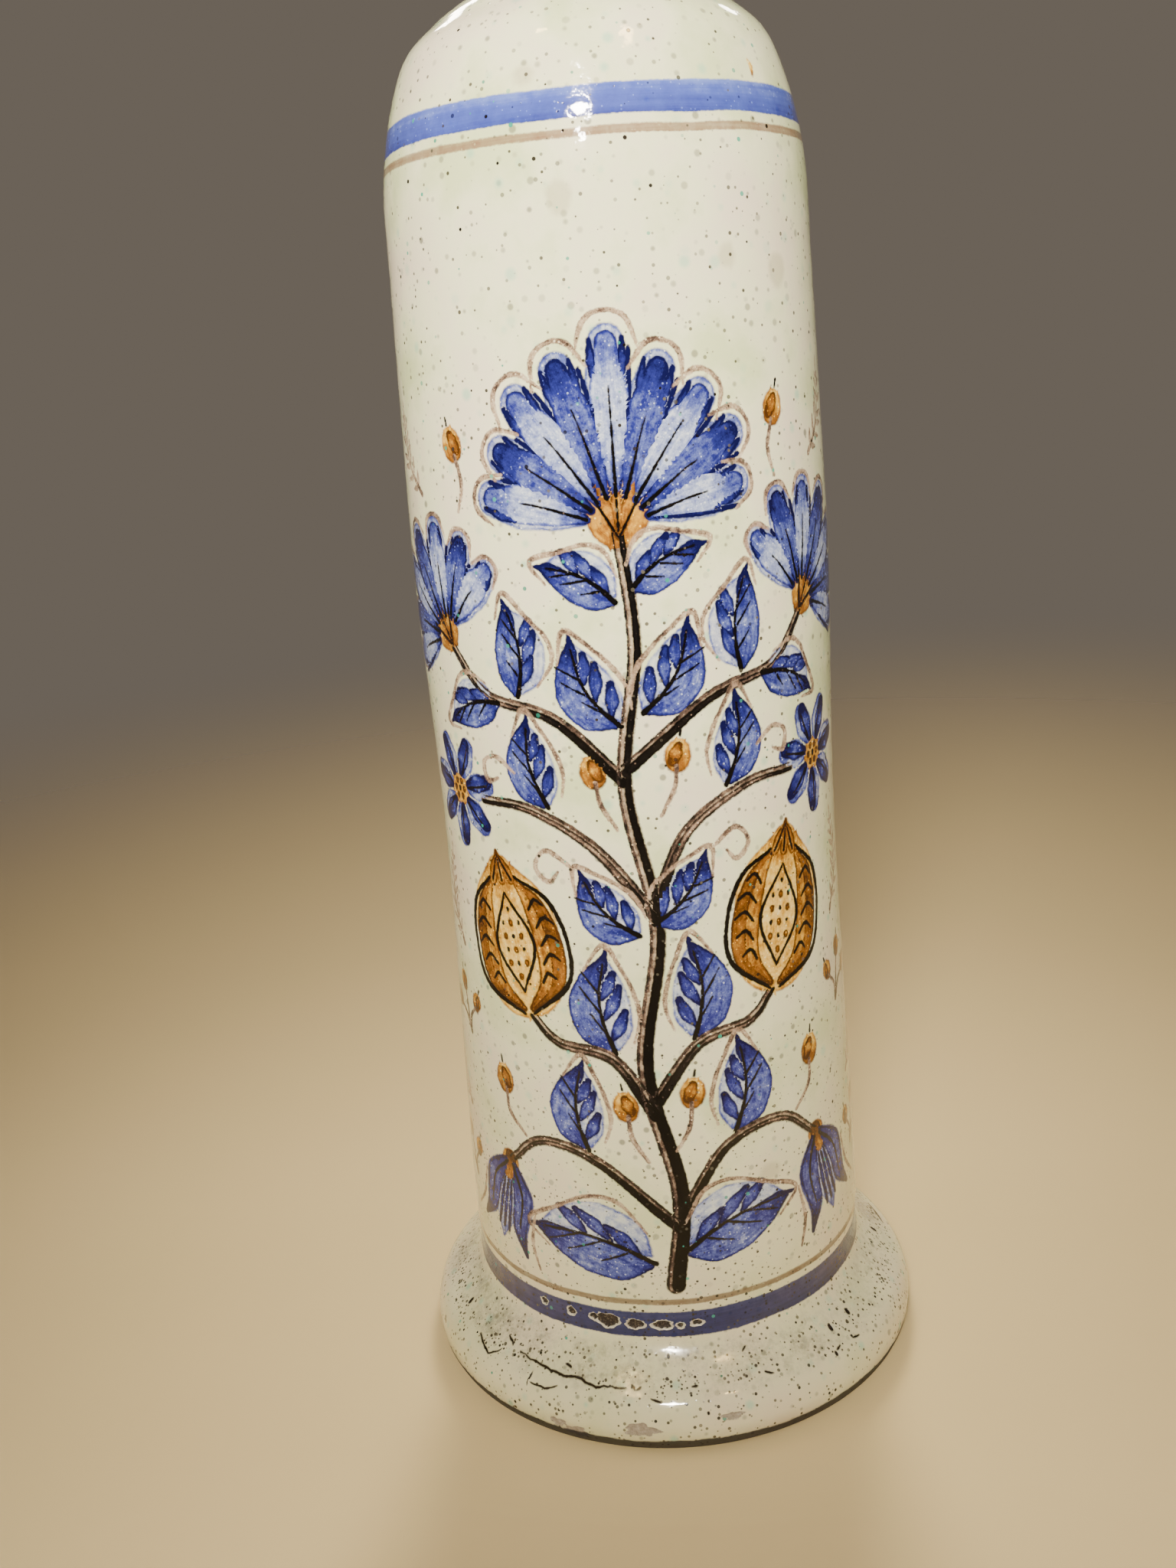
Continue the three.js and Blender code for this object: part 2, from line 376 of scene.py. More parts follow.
def carnation(point, heading, radius, petals=7):
    """Broad fringed petals fanned out of an ochre cup, pale and deep by turns, each dark down one side."""
    spread = 66
    broad = radius * 0.9 / petals
    for i in range(petals):
        k = 2 * i / (petals - 1) - 1
        way = heading + spread * k
        long = radius * (1 - 0.2 * abs(k) ** 1.5) * hand.uniform(0.95, 1.05)
        base = ahead(point, way, radius * 0.2)
        middle = ahead(point, way + 4 * k, long * 0.58)
        tip = ahead(point, way + 8 * k, long)
        tones = [0.8, 0.52, 0.5, 0.85] if i % 2 else [0.65, 0.2, 0.16, 0.5]
        stroke("wash", [base, middle, tip], [1.6, broad * 1.2, broad * 1.5, broad * 1.1], [0.4, 0.2, 0.3])
        stroke("brush", [base, middle, tip], [1.2, broad * 0.95, broad * 1.2, broad * 0.7], tones)
        for fringe in (-1, 0, 1):
            tooth = ahead(point, way + 8 * k + 5 * fringe, long * 0.95)
            tooth = [ahead(tooth, way, -radius * 0.14), ahead(tooth, way + 8 * fringe, radius * 0.08)]
            stroke("brush", tooth, [0.7, 1.5, 0.7], [0.55, 0.75, 1.05])
        edge = [ahead(base, way, 0, -0.6), ahead(middle, way, 0, -broad), ahead(tip, way, -1.5, -1.3 * broad)]
        stroke("brush", edge, [0.6, 0.95, 0.7], [0.9, 0.8, 1.05])
        stroke("line", [base, middle, ahead(point, way + 6 * k, long * hand.uniform(0.7, 0.82))],
               [0.6, 0.4, 0.25], [1.1, 0.9, 0.75], MANGANESE)
        contour([ahead(point, way + 8 * k + turn_by, long * share) for turn_by, share in
                 ((-11, 0.97), (-6, 1.13), (0, 1.17), (6, 1.13), (11, 0.97))])
    stroke("wash", [ahead(point, heading, -1), ahead(point, heading, radius * 0.24)],
           [radius * 0.09, radius * 0.2, radius * 0.2], [0.7, 0.35], OCHRE)
    for side in (-1, 0, 1):
        stroke("brush", [ahead(point, heading, -1.5), ahead(point, heading + 22 * side, radius * 0.3)],
               [0.9, 1.7, 1.1], [0.95, 0.5, 0.75], OCHRE)
        stroke("line", [ahead(point, heading, -1.5), ahead(point, heading + 34 * side, radius * 0.28)],
               0.38, 1.0, MANGANESE)


def tulip(point, heading, length):
    """Three petals: a pale striped one between two deep ones that turn outwards at their tips."""
    stroke("wash", [point, ahead(point, heading, length * 0.5), ahead(point, heading, length * 0.92)],
           [length * 0.08, length * 0.2, length * 0.15, 0.5], [0.5, 0.18, 0.4])
    for side in (-1, 1):
        side_of = [ahead(point, heading, length * a, side * length * b)
                   for a, b in ((0.02, 0.04), (0.3, 0.21), (0.66, 0.23), (0.92, 0.36))]
        stroke("wash", side_of, [length * 0.07, length * 0.15, length * 0.12, 0.6], [0.6, 0.4])
        stroke("brush", side_of, [length * 0.06, length * 0.13, length * 0.1, 0.7], [0.95, 0.55, 0.6, 1.1])
        stroke("line", side_of[:3], [0.55, 0.3], 1.0, MANGANESE)
        stroke("line", [ahead(p, heading, 1, side * length * 0.18) for p in side_of[1:]], [0.35, 0.75, 0.4],
               [0.24, 0.34], MANGANESE)
    for left in (-0.08, 0, 0.08):
        stripe = [ahead(point, heading, length * 0.2, left * length * 0.6),
                  ahead(point, heading, length * 0.8, left * length)]
        stroke("brush", stripe, [0.5, 0.95, 0.6], [0.8, 0.55, 1.0])
    stroke("wash", [ahead(point, heading, -0.5), ahead(point, heading, length * 0.16)], length * 0.12, 0.5,
           OCHRE)
    stroke("brush", [ahead(point, heading, -1.5), ahead(point, heading, length * 0.14)], length * 0.08,
           [0.95, 0.6], OCHRE)


def rosette(point, radius):
    """A round flower seen from the front, with an ochre eye."""
    petals = 7
    for i in range(petals):
        way = 360 * i / petals + 14
        petal = [ahead(point, way, radius * share) for share in (0.38, 0.68, 1.0)]
        stroke("wash", petal, [radius * 0.14, radius * 0.3, radius * 0.22], [0.5, 0.25, 0.45])
        stroke("brush", [ahead(petal[0], way, 0, -0.8), ahead(petal[2], way, 0.5, -1.0)],
               [radius * 0.1, radius * 0.2, radius * 0.15], [0.95, 0.5, 1.0])
        stroke("line", petal, [0.5, 0.25], [1.0, 0.7], MANGANESE)
    stroke("wash", [ahead(point, 0, -0.5), ahead(point, 0, 0.5)], radius * 0.34, 0.45, OCHRE)
    for i in range(6):
        dot("brush", ahead(point, 60 * i, radius * 0.18), 0.9, 0.7, OCHRE)
    dot("line", point, 0.75, 0.95, MANGANESE)


def pomegranate(point, heading, length, width):
    """A split ochre globe with a pale window of seeds, hatched sides and a small crown."""
    r = width / 2

    def at(share, left=0.0):
        return ahead(point, heading, length * share, left * r)

    stroke("wash", [at(0.03), at(0.34), at(0.66), at(0.95)], [2.0, r * 0.9, r * 0.96, r * 0.4],
           [0.6, 0.3, 0.24, 0.6], OCHRE)
    for side in (-1, 1):
        for inset, tone in ((0.82, 0.85), (0.58, 0.62)):
            stroke("brush", [at(0.04, side * 0.1), at(0.22, side * inset * 0.86), at(0.5, side * inset),
                             at(0.78, side * inset * 0.8), at(0.93, side * 0.3)],
                   [1.2, 2.4, 2.7, 2.3, 1.1], [tone + 0.15, tone * 0.8, tone, tone * 0.75], OCHRE)
        stroke("line", [at(0.0, side * 0.1), at(0.2, side * 0.9), at(0.5, side * 1.06), at(0.8, side * 0.86),
                        at(0.97, side * 0.3)], [0.5, 0.85, 0.65, 0.8, 0.5], [0.95, 1.1], MANGANESE)
        stroke("line", [at(0.16), at(0.5, side * 0.42), at(0.86)], [0.45, 0.65, 0.45], 1.05, MANGANESE)
        for i in range(5):
            share = 0.22 + 0.13 * i
            belly = math.sin(math.pi * share) ** 0.6
            stroke("line", [at(share, side * belly * 0.56), at(share + 0.07, side * belly * 0.74),
                            at(share + 0.02, side * belly * 0.92)], [0.45, 0.6, 0.35], 1.0, MANGANESE)
    for row in range(1, 7):
        room = 0.34 * math.sin(math.pi * row / 7)
        for column in range(-2, 3):
            if abs(column) * 0.17 <= room:
                spot = at(0.17 + 0.095 * row, column * 0.18)
                if (row + column) % 2:
                    dot("brush", spot, 0.95, 0.6, OCHRE)
                else:
                    dot("line", spot, 0.62, 0.95, MANGANESE)
    for side in (-1, 0, 1):
        root = at(0.95, side * 0.22)
        way = heading - 26 * side
        tip = ahead(root, way, r * 0.5)
        stroke("wash", [root, tip], [r * 0.16, r * 0.18, 0.5], 0.35, OCHRE)
        stroke("brush", [root, tip], [r * 0.09, r * 0.12, 0.5], [0.5, 0.9], OCHRE)
        stroke("line", [root, ahead(root, way, r * 0.42)], [0.5, 0.3], 0.9, MANGANESE)


def bud(point, heading, half):
    """A plump ochre bud, shaded down one side, with a dark point."""
    wash = [ahead(point, heading, 0.4 * half), ahead(point, heading, 1.3 * half)]
    stroke("wash", wash, [0.85 * half, half, 0.6 * half], [0.65, 0.25], OCHRE)
    stroke("brush", [ahead(wash[0], heading, -0.2, 0.3 * half), ahead(wash[1], heading, 0.3, 0.1)],
           [0.4 * half, 0.5 * half, 0.3 * half], [0.9, 0.5, 0.8], OCHRE)
    stroke("line", [ahead(point, heading, 2.0 * half), ahead(point, heading, 2.5 * half)], 0.4, 1.0,
           MANGANESE)


def sprig(point, heading, size):
    """Three buds on tan stalks."""
    for turn_by, reach in ((-40, 0.85), (0, 1.05), (40, 0.8)):
        tip = ahead(point, heading + turn_by, size * reach)
        stroke("line", [point, ahead(point, heading + turn_by * 0.5, size * reach * 0.5), tip],
               [0.75, 0.5], [0.5, 0.36], MANGANESE)
        bud(tip, heading + turn_by, 2.8)


def lone_bud(points):
    """A large bud at the end of a tan stalk."""
    stroke("line", points, [0.5, 0.75, 0.6], [0.26, 0.42], MANGANESE)
    bud(points[-1], way_from(*points[-2:]), 4.0)


def fern(points):
    """A tan frond with paired leaflets, which fills a bare place."""
    pairs = 7
    stroke("line", points, [0.8, 0.5], [0.35, 0.12], MANGANESE)
    line = flowing(points)
    for i in range(1, pairs + 1):
        k = int((len(line) - 3) * i / (pairs + 0.5))
        way = way_from(line[k], line[k + 1])
        reach = 5.6 * math.sin(math.pi * (0.18 + 0.7 * i / pairs))
        for side in (-1, 1):
            leaflet = [line[k], ahead(line[k], way + 48 * side, reach)]
            stroke("line", leaflet, [0.4, 1.0, 0.35], [0.1, 0.28], MANGANESE)


# The trunk of the flowering tree, as (s, z)
TRUNK = [(1, 44), (4, 74), (-3, 112), (3, 152), (-3, 192), (2, 228), (0, 258)]
trunk_line = flowing(TRUNK)


def fork(z):
    """The middle of the trunk at a height, seen from the side that is being painted."""
    return easel["hand"] * np.interp(z + easel["lift"], trunk_line[:, 1], trunk_line[:, 0]), z


def spray(centre):
    """A flowering tree with matching arms, one set 3 mm lower, from the foot's band to the shoulder."""
    easel.update(centre=centre, hand=1.0, lift=0.0)
    carnation((0, 258), 90, 43, petals=9)
    for side in (1.0, -1.0):
        easel.update(hand=side, lift=1.5 * side)
        tulip((50, 77), -76, 31)
        pomegranate((37, 127), 80, 41, 34)
        rosette((60, 189), 14)
        carnation((55, 232), 58, 31)
        leaf((4, 53), 14, 36, 0.12)
        leaf((21, 88), 88, 27, -0.12)
        leaf((11, 118), 92, 27, -0.12)
        leaf((2, 152), 52, 22, -0.12)
        leaf((25, 188), 84, 25, -0.12)
        leaf((3, 210), 60, 26, -0.14)
        leaf((31, 218), 82, 24, 0.12)
        leaf((38, 216), -16, 22, 0.12)
        leaf((2, 242), 22, 22, 0.12)
        stalk([fork(64), (18, 84), (36, 88), (49, 78)], 1.8, 1.3, (1.0, 0.85, 0.3, 0.5))
        stalk([fork(99), (12, 116), (28, 120), (36, 127)], 2.0, 1.4, (1.0, 0.6, 0.25, 0.85))
        stalk([fork(157), (13, 177), (31, 187), (48, 188)], 1.8, 1.3, (0.9, 0.3, 0.25, 0.7))
        stalk([fork(195), (21, 212), (42, 218), (54, 230)], 1.8, 1.3, (1.0, 0.8, 0.3, 0.6))
        tendril([(19, 171), (27, 176), (31, 171), (27, 167), (24, 170)])
        tendril([(35, 197), (41, 201), (46, 199), (45, 194), (41, 195)])
        lone_bud([(6, 182), (10, 189), (11, 195)])
        lone_bud([(4, 85), (8, 92), (9, 99)])
        lone_bud([(42, 88), (48, 94), (49, 101)])
        lone_bud([(46, 266), (44, 273), (46, 280)])
        sprig((68, 112), 76, 13)
        sprig((74, 62), 70, 12)
        fern([(68, 140), (75, 152), (72, 170)])
        fern([(64, 270), (74, 280), (76, 294)])
        fern([(74, 86), (82, 94), (84, 108)])
    easel.update(hand=1.0, lift=0.0)
    stalk(TRUNK, 2.6, 1.7, (1.15, 1.1, 1.0, 0.85, 0.7))


spray(0.0)
spray(ROUND / 2)
easel.update(centre=0.0, hand=1.0, lift=0.0)

# A drop of ochre that fell above the shoulder's blue band
stroke("wash", [(51.0, 366), (51.8, 364.4), (51.4, 362.6)], [0.4, 0.9, 0.5], [0.1, 0.35], OCHRE)


def crack(points):
    """A jagged crack, where the glaze drew back over the lip of the foot as it cooled."""
    half = 0.24
    jag = 1.1
    places = [points[0]]
    for (s0, z0), (s1, z1) in zip(points, points[1:]):
        steps = max(1, round(math.hypot(s1 - s0, z1 - z0) / jag))
        for share in np.linspace(0, 1, steps + 1)[1:]:
            slip = 0.16 if share < 1 else 0.0
            places.append((s0 + (s1 - s0) * share + hand.uniform(-slip, slip) * 1.6,
                           z0 + (z1 - z0) * share + hand.uniform(-slip, slip)))
    stroke("crack", places, [half * 0.6, half, half * 1.2, half, half * 0.6])


for route in (
    [(-44.2, 18.1), (-36.8, 17.6), (-29.0, 17.1), (-25.5, 17.5), (-20.1, 16.4), (-18.8, 17.0), (-13.0, 17.0)],
    [(-59.5, 16.6), (-52.8, 14.6), (-49.8, 16.9)],
    [(-38.0, 16.1), (-38.3, 13.0)],
    [(-37.8, 14.0), (-33.5, 13.8), (-30.1, 15.3)],
    [(-50.1, 19.5), (-47.2, 18.4)],
    [(-30.2, 19.2), (-28.0, 18.7)],
    [(-11.7, 17.6), (-10.6, 16.8)],
    [(-10.6, 16.8), (-9.3, 17.4)],
    [(-7.0, 15.5), (-4.6, 14.9)],
    [(3.0, 17.3), (4.6, 17.4)],
    [(21.4, 17.5), (23.4, 16.8)],
    [(41.6, 15.6), (43.4, 16.0)],
    [(47.6, 15.8), (50.1, 15.3)],
    [(17.5, 21.8), (18.9, 22.7)],
    [(100.0, 16.4), (109.0, 17.3)],
    [(-128.0, 16.6), (-117.0, 17.2)],
    [(150.0, 17.0), (162.0, 16.2)],
    [(162.0, 16.2), (165.0, 17.4)],
    [(-168.0, 15.6), (-160.0, 16.8)],
):
    crack(route)

# Larger pits round the foot, as a place and half a width
for pit, half in (
    ((44.2, 19.1), 0.6), ((54.2, 27.0), 0.6), ((41.0, 15.0), 0.45), ((52.2, 19.4), 0.6), ((-27.7, 9.6), 0.35),
    ((6.0, 11.8), 0.3), ((-2.5, 22.6), 0.4), ((92.0, 20.0), 0.7), ((-110.0, 21.0), 0.6), ((-71.0, 18.6), 0.6),
):
    dot("crack", pit, half)


def nearest(one, s, z):
    """How points lie to a stroke: sideways offset, overshoot of its ends, half width, way along it, tone."""
    a, b = one["line"][:-1], one["line"][1:]
    ab = b - a
    long = np.hypot(*ab.T)
    from_a = np.stack([s, z], 1)[:, None] - a
    raw = (from_a * ab).sum(2) / long ** 2
    t = np.clip(raw, 0, 1)
    gap = from_a - t[..., None] * ab
    distance = np.hypot(gap[..., 0], gap[..., 1])
    half = one["half"][:-1] * (1 - t) + one["half"][1:] * t
    best = np.argmax(half - distance, 1)
    row = np.arange(len(s))
    t, raw, half, distance = (values[row, best] for values in (t, raw, half, distance))
    side = (ab[best, 0] * from_a[row, best, 1] - ab[best, 1] * from_a[row, best, 0]) / long[best]
    before = (best == 0) & (raw < 0)
    after = (best == len(a) - 1) & (raw > 1)
    overshoot = np.where(before, -raw, np.where(after, raw - 1, 0.0)) * long[best]
    sideways = np.where(before | after, side, np.sign(side) * distance)
    along = one["along"][best] + t * long[best]
    tone = one["tone"][best] * (1 - t) + one["tone"][best + 1] * t
    return sideways, overshoot, half, along, tone


# How far round a stroke the surface is finer and takes its places, in mm
FINE_MARGIN = 1.6
# What a face without a stroke has for its sideways offset, overshoot and half width
NO_STROKE = (0.0, -FAR_OUTSIDE, FAR_OUTSIDE)


def unwrap(one, s):
    """s counted round the bottle from the side on which a stroke lies."""
    middle = (one["line"][:, 0].min() + one["line"][:, 0].max()) / 2
    return (s - middle + ROUND / 2) % ROUND - ROUND / 2 + middle


def owners(layer, s, z):
    """The number of the stroke in which each point lies deepest, or -1 where none is near."""
    owner = np.full(len(s), -1)
    deepest = np.full(len(s), -FINE_MARGIN)
    for number, one in enumerate(layer):
        line = one["line"]
        reach = one["half"].max() + FINE_MARGIN
        unwrapped = unwrap(one, s)
        near = np.flatnonzero((unwrapped > line[:, 0].min() - reach) & (unwrapped < line[:, 0].max() + reach)
                              & (z > line[:, 1].min() - reach) & (z < line[:, 1].max() + reach))
        if len(near):
            sideways, overshoot, half, *_ = nearest(one, unwrapped[near], z[near])
            depth = half - np.hypot(sideways, overshoot)
            won = depth > deepest[near]
            deepest[near[won]] = depth[won]
            owner[near[won]] = number
    return owner


def near_paint(points):
    """Which points of the outside are close enough to a stroke to need a finer surface."""
    s, z = place(points)
    close = np.zeros(len(s), bool)
    for layer in strokes.values():
        close |= owners(layer, s, z) >= 0
    return close


def near_damage(points):
    """Which points lie in or near a blister or chip, whose shape needs a finer surface."""
    s, z = place(points)
    return (fault_depth("blister", s, z) > -2.2) | (fault_depth("chip", s, z) > -1.2)


def on_damage(points):
    """Which points lie on a blister or on the edge of a chip, whose shape needs the finest surface."""
    s, z = place(points)
    return (fault_depth("blister", s, z) > -0.9) | (np.abs(fault_depth("chip", s, z)) < 0.5)


def refine(bm, wanted):
    """Halves the surface round the outside points that wanted marks."""
    bm.verts.index_update()
    points = np.array([v.co for v in bm.verts])
    outer = np.flatnonzero(on_outside(points))
    mark = np.zeros(len(points), bool)
    mark[outer] = wanted(points[outer])
    outer = set(outer.tolist())
    edges = [e for e in bm.edges
             if (mark[e.verts[0].index] or mark[e.verts[1].index])
             and e.verts[0].index in outer and e.verts[1].index in outer]
    bmesh.ops.subdivide_edges(bm, edges=edges, cuts=1, use_grid_fill=True)


def draw_out(bm):
    """Moves the outside onto its exact, slightly uneven shape."""
    points = np.array([v.co for v in bm.verts])
    s, z = place(points)
    radius = np.where(on_outside(points), skin(s, z), np.hypot(points[:, 0], points[:, 1]))
    angle = s / PAINT_RADIUS
    for vertex, r, turned_by in zip(bm.verts, radius, angle):
        vertex.co.x = r * math.sin(turned_by)
        vertex.co.y = -r * math.cos(turned_by)


def corners_of(triangles):
    """The numbers of the corners of triangles."""
    return (triangles[:, None] * 3 + np.arange(3)).ravel()


def lay_strokes(mesh, points, corner_points, outer_face):
    """Gives each small face of the outside the stroke it belongs to, as places measured at its corners."""
    middle_s, middle_z = place(points[corner_points].mean(1)[outer_face])
    s, z = place(points)
    for name, layer in strokes.items():
        edge = np.tile(np.array(NO_STROKE), (corner_points.size, 1))
        look = np.zeros((corner_points.size, 3))
        owner = owners(layer, middle_s, middle_z)
        for number in np.unique(owner[owner >= 0]):
            one = layer[number]
            faces = outer_face[owner == number]
            corners = corners_of(faces)
            at = corner_points[faces].ravel()
            sideways, overshoot, half, along, tone = nearest(one, unwrap(one, s[at]), z[at])
            edge[corners] = np.stack([sideways, overshoot, half], 1)
            look[corners] = np.stack([along, tone, np.full(len(at), one["mark"])], 1)
        for ending, values in (("_edge", edge), ("_look", look)):
            made = mesh.attributes.new(name + ending, "FLOAT_VECTOR", "CORNER")
            made.data.foreach_set("vector", values.astype(np.float32).ravel())


def lay_faults(mesh, points):
    """Gives the points their depth in each kind of fault, and whether the brush could band them."""
    s, z = place(points)
    outer = on_outside(points)
    values = {"reached": outer | (z > lip_z - BRUSH_REACH)}
    for kind in FAULTS:
        values[kind] = np.where(outer, fault_depth(kind, s, z), FAR_OUTSIDE)
    for name, value in values.items():
        made = mesh.attributes.new(name, "FLOAT", "POINT")
        made.data.foreach_set("value", value.astype(np.float32))


def soften(mesh, points, corner_points, outer_face):
    """Shades the outside by the exact slope of its surface, so that the sections flow into each other.

    It leaves out the roll of the mouth, which turns over too sharply for that.
    """
    below_roll = lip_z - 2
    normals = np.zeros((corner_points.size, 3))
    faces = outer_face[points[corner_points[outer_face]][:, :, 2].max(1) < below_roll]
    corners = corners_of(faces)
    s, z = place(points[corner_points[faces].ravel()])
    step = 0.15
    radius = skin(s, z)
    low = np.maximum(z - step, 0)
    up = (skin(s, z + step) - skin(s, low)) / (z + step - low)
    round_it = (skin(s + step, z) - skin(s - step, z)) / (2 * step / PAINT_RADIUS) / radius
    angle = s / PAINT_RADIUS
    normals[corners] = np.stack([np.sin(angle) - round_it * np.cos(angle),
                                 -np.cos(angle) - round_it * np.sin(angle), -up], 1)
    length = np.linalg.norm(normals, axis=1, keepdims=True)
    mesh.normals_split_custom_set(np.divide(normals, length, out=normals, where=length > 0).tolist())


def section(name, node, outline, glaze):
    """Turns a section from its outline, refines it under the painting and faults, and finishes the piece."""
    outline = [tuple(p) for p in outline]
    bm = bmesh.new()
    ring = [bm.verts.new((radius, 0, z)) for radius, z in outline]
    closing = [] if outline[0][0] == 0 else ring[:1]
    edges = [bm.edges.new(pair) for pair in zip(ring, ring[1:] + closing)]
    bmesh.ops.spin(bm, geom=ring + edges, cent=(0, 0, 0), axis=(0, 0, 1), dvec=(0, 0, 0),
                   angle=2 * math.pi, steps=COLUMNS, use_merge=True, use_duplicate=False)
    bmesh.ops.remove_doubles(bm, verts=bm.verts, dist=0.001)
    refine(bm, near_paint)
    refine(bm, near_damage)
    refine(bm, near_damage)
    refine(bm, on_damage)
    draw_out(bm)
    bmesh.ops.triangulate(bm, faces=bm.faces)
    bmesh.ops.recalc_face_normals(bm, faces=bm.faces)
    if bm.calc_volume(signed=True) < 0:
        bmesh.ops.reverse_faces(bm, faces=bm.faces)
    mesh = bpy.data.meshes.new(name)
    bm.to_mesh(mesh)
    bm.free()
    points = np.array([v.co for v in mesh.vertices])
    corner_points = np.array([tuple(p.vertices) for p in mesh.polygons])
    outer_face = np.flatnonzero(on_outside(points)[corner_points].all(1))
    lay_strokes(mesh, points, corner_points, outer_face)
    lay_faults(mesh, points)
    mesh.shade_smooth()
    mesh.set_sharp_from_angle(angle=math.radians(SHARP_ANGLE))
    soften(mesh, points, corner_points, outer_face)
    mesh.transform(Matrix.Scale(MM, 4))
    mesh.materials.append(glaze)
    piece = bpy.data.objects.new(name, mesh)
    bpy.context.scene.collection.objects.link(piece)
    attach(piece, "root")
    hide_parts(node)


def linear(colour):
    """A colour for a socket, from its sRGB hex code."""
    parts = [int(colour[i:i + 2], 16) / 255 for i in (0, 2, 4)]
    return [c / 12.92 if c <= 0.04045 else ((c + 0.055) / 1.055) ** 2.4 for c in parts] + [1.0]


def node(tree, kind, sockets=None, stops=(), **settings):
    """Adds a node. Sockets maps an input's name or number to a value, a node or a node's output.

    Stops are a ramp's places and colours: those of its two ends, and then those between them.
    """
    made = tree.nodes.new(kind)
    for name, value in settings.items():
        setattr(made, name, value)
    for name, value in (sockets or {}).items():
        named = [s for s in made.inputs if s.enabled and s.name == name]
        target = named[0] if named else made.inputs[name]
        if isinstance(value, bpy.types.Node):
            value = next(s for s in value.outputs if s.enabled)
        if isinstance(value, bpy.types.NodeSocket):
            tree.links.new(value, target)
        else:
            target.default_value = value
    for i, (where, colour) in enumerate(stops):
        elements = made.color_ramp.elements
        element = elements[i] if i < 2 else elements.new(where)
        element.position = where
        element.color = linear(colour)
    return made


# Metal oxides fired into the glaze, from a thin wash (0) to a thick one (1)
COBALT_TONES = [(0.0, "CDD3E6"), (1.0, "0C0B3E"), (0.2, "9DA7D3"), (0.42, "5E69AE"), (0.66, "292D7C")]
OCHRE_TONES = [(0.0, "EFDEA8"), (1.0, "4A2A10"), (0.2, "F0C253"), (0.42, "CE9838"), (0.68, "8C5720")]
MANGANESE_TONES = [(0.0, "D4C0AE"), (1.0, "080606"), (0.26, "A98C78"), (0.48, "5C4840"), (0.68, "1C1716")]
# The shoulder's band is one even coat of cobalt. The foot's was laid on twice, and fired to a slaty navy.
CLEAR_BAND_TONES = [(0.15, "7387DA"), (0.8, "1E2A8C"), (0.45, "4355BA")]
DEEP_BAND_TONES = [(0.25, "0F1340"), (0.8, "3C4476"), (0.5, "1C245E")]


def pinprick_bubbles(tree, mm):
    """Pale pinpricks 0.3 to 0.6 mm across, where bubbles burst through the colour."""
    cells = node(tree, "ShaderNodeTexVoronoi", {"Vector": mm, "Scale": 1 / 1.1}, feature="F1")
    chance = node(tree, "ShaderNodeSeparateColor", {0: cells.outputs["Color"]})
    radius = node(tree, "ShaderNodeMapRange", {"Value": chance.outputs["Red"], "From Min": 0.2,
                                               "To Max": 0.27})
    depth = node(tree, "ShaderNodeMath", {0: radius, 1: cells.outputs["Distance"]}, operation="SUBTRACT")
    return node(tree, "ShaderNodeMapRange", {"Value": depth, "From Min": -0.05, "From Max": 0.07})


def stroke_depth(tree, mm, layer, wobble):
    """How far a place lies inside its stroke, in mm, with an unsteady edge, and how far off its middle."""
    edge = node(tree, "ShaderNodeAttribute", attribute_name=layer + "_edge").outputs["Vector"]
    flat = node(tree, "ShaderNodeVectorMath", {0: edge, 1: (1, 1, 0)}, operation="MULTIPLY")
    distance = node(tree, "ShaderNodeVectorMath", {0: flat}, operation="LENGTH").outputs["Value"]
    edge = node(tree, "ShaderNodeSeparateXYZ", {0: edge})
    unsteady = node(tree, "ShaderNodeTexNoise", {"Vector": mm, "Scale": 0.7, "Detail": 4, "Roughness": 0.65})
    depth = node(tree, "ShaderNodeMath", {0: edge.outputs["Z"], 1: distance}, operation="SUBTRACT")
    depth = node(tree, "ShaderNodeMath", {0: unsteady.outputs[0], 1: wobble, 2: depth},
                 operation="MULTIPLY_ADD")
    return node(tree, "ShaderNodeMath", {0: depth, 1: wobble / 2}, operation="SUBTRACT"), edge.outputs["X"]


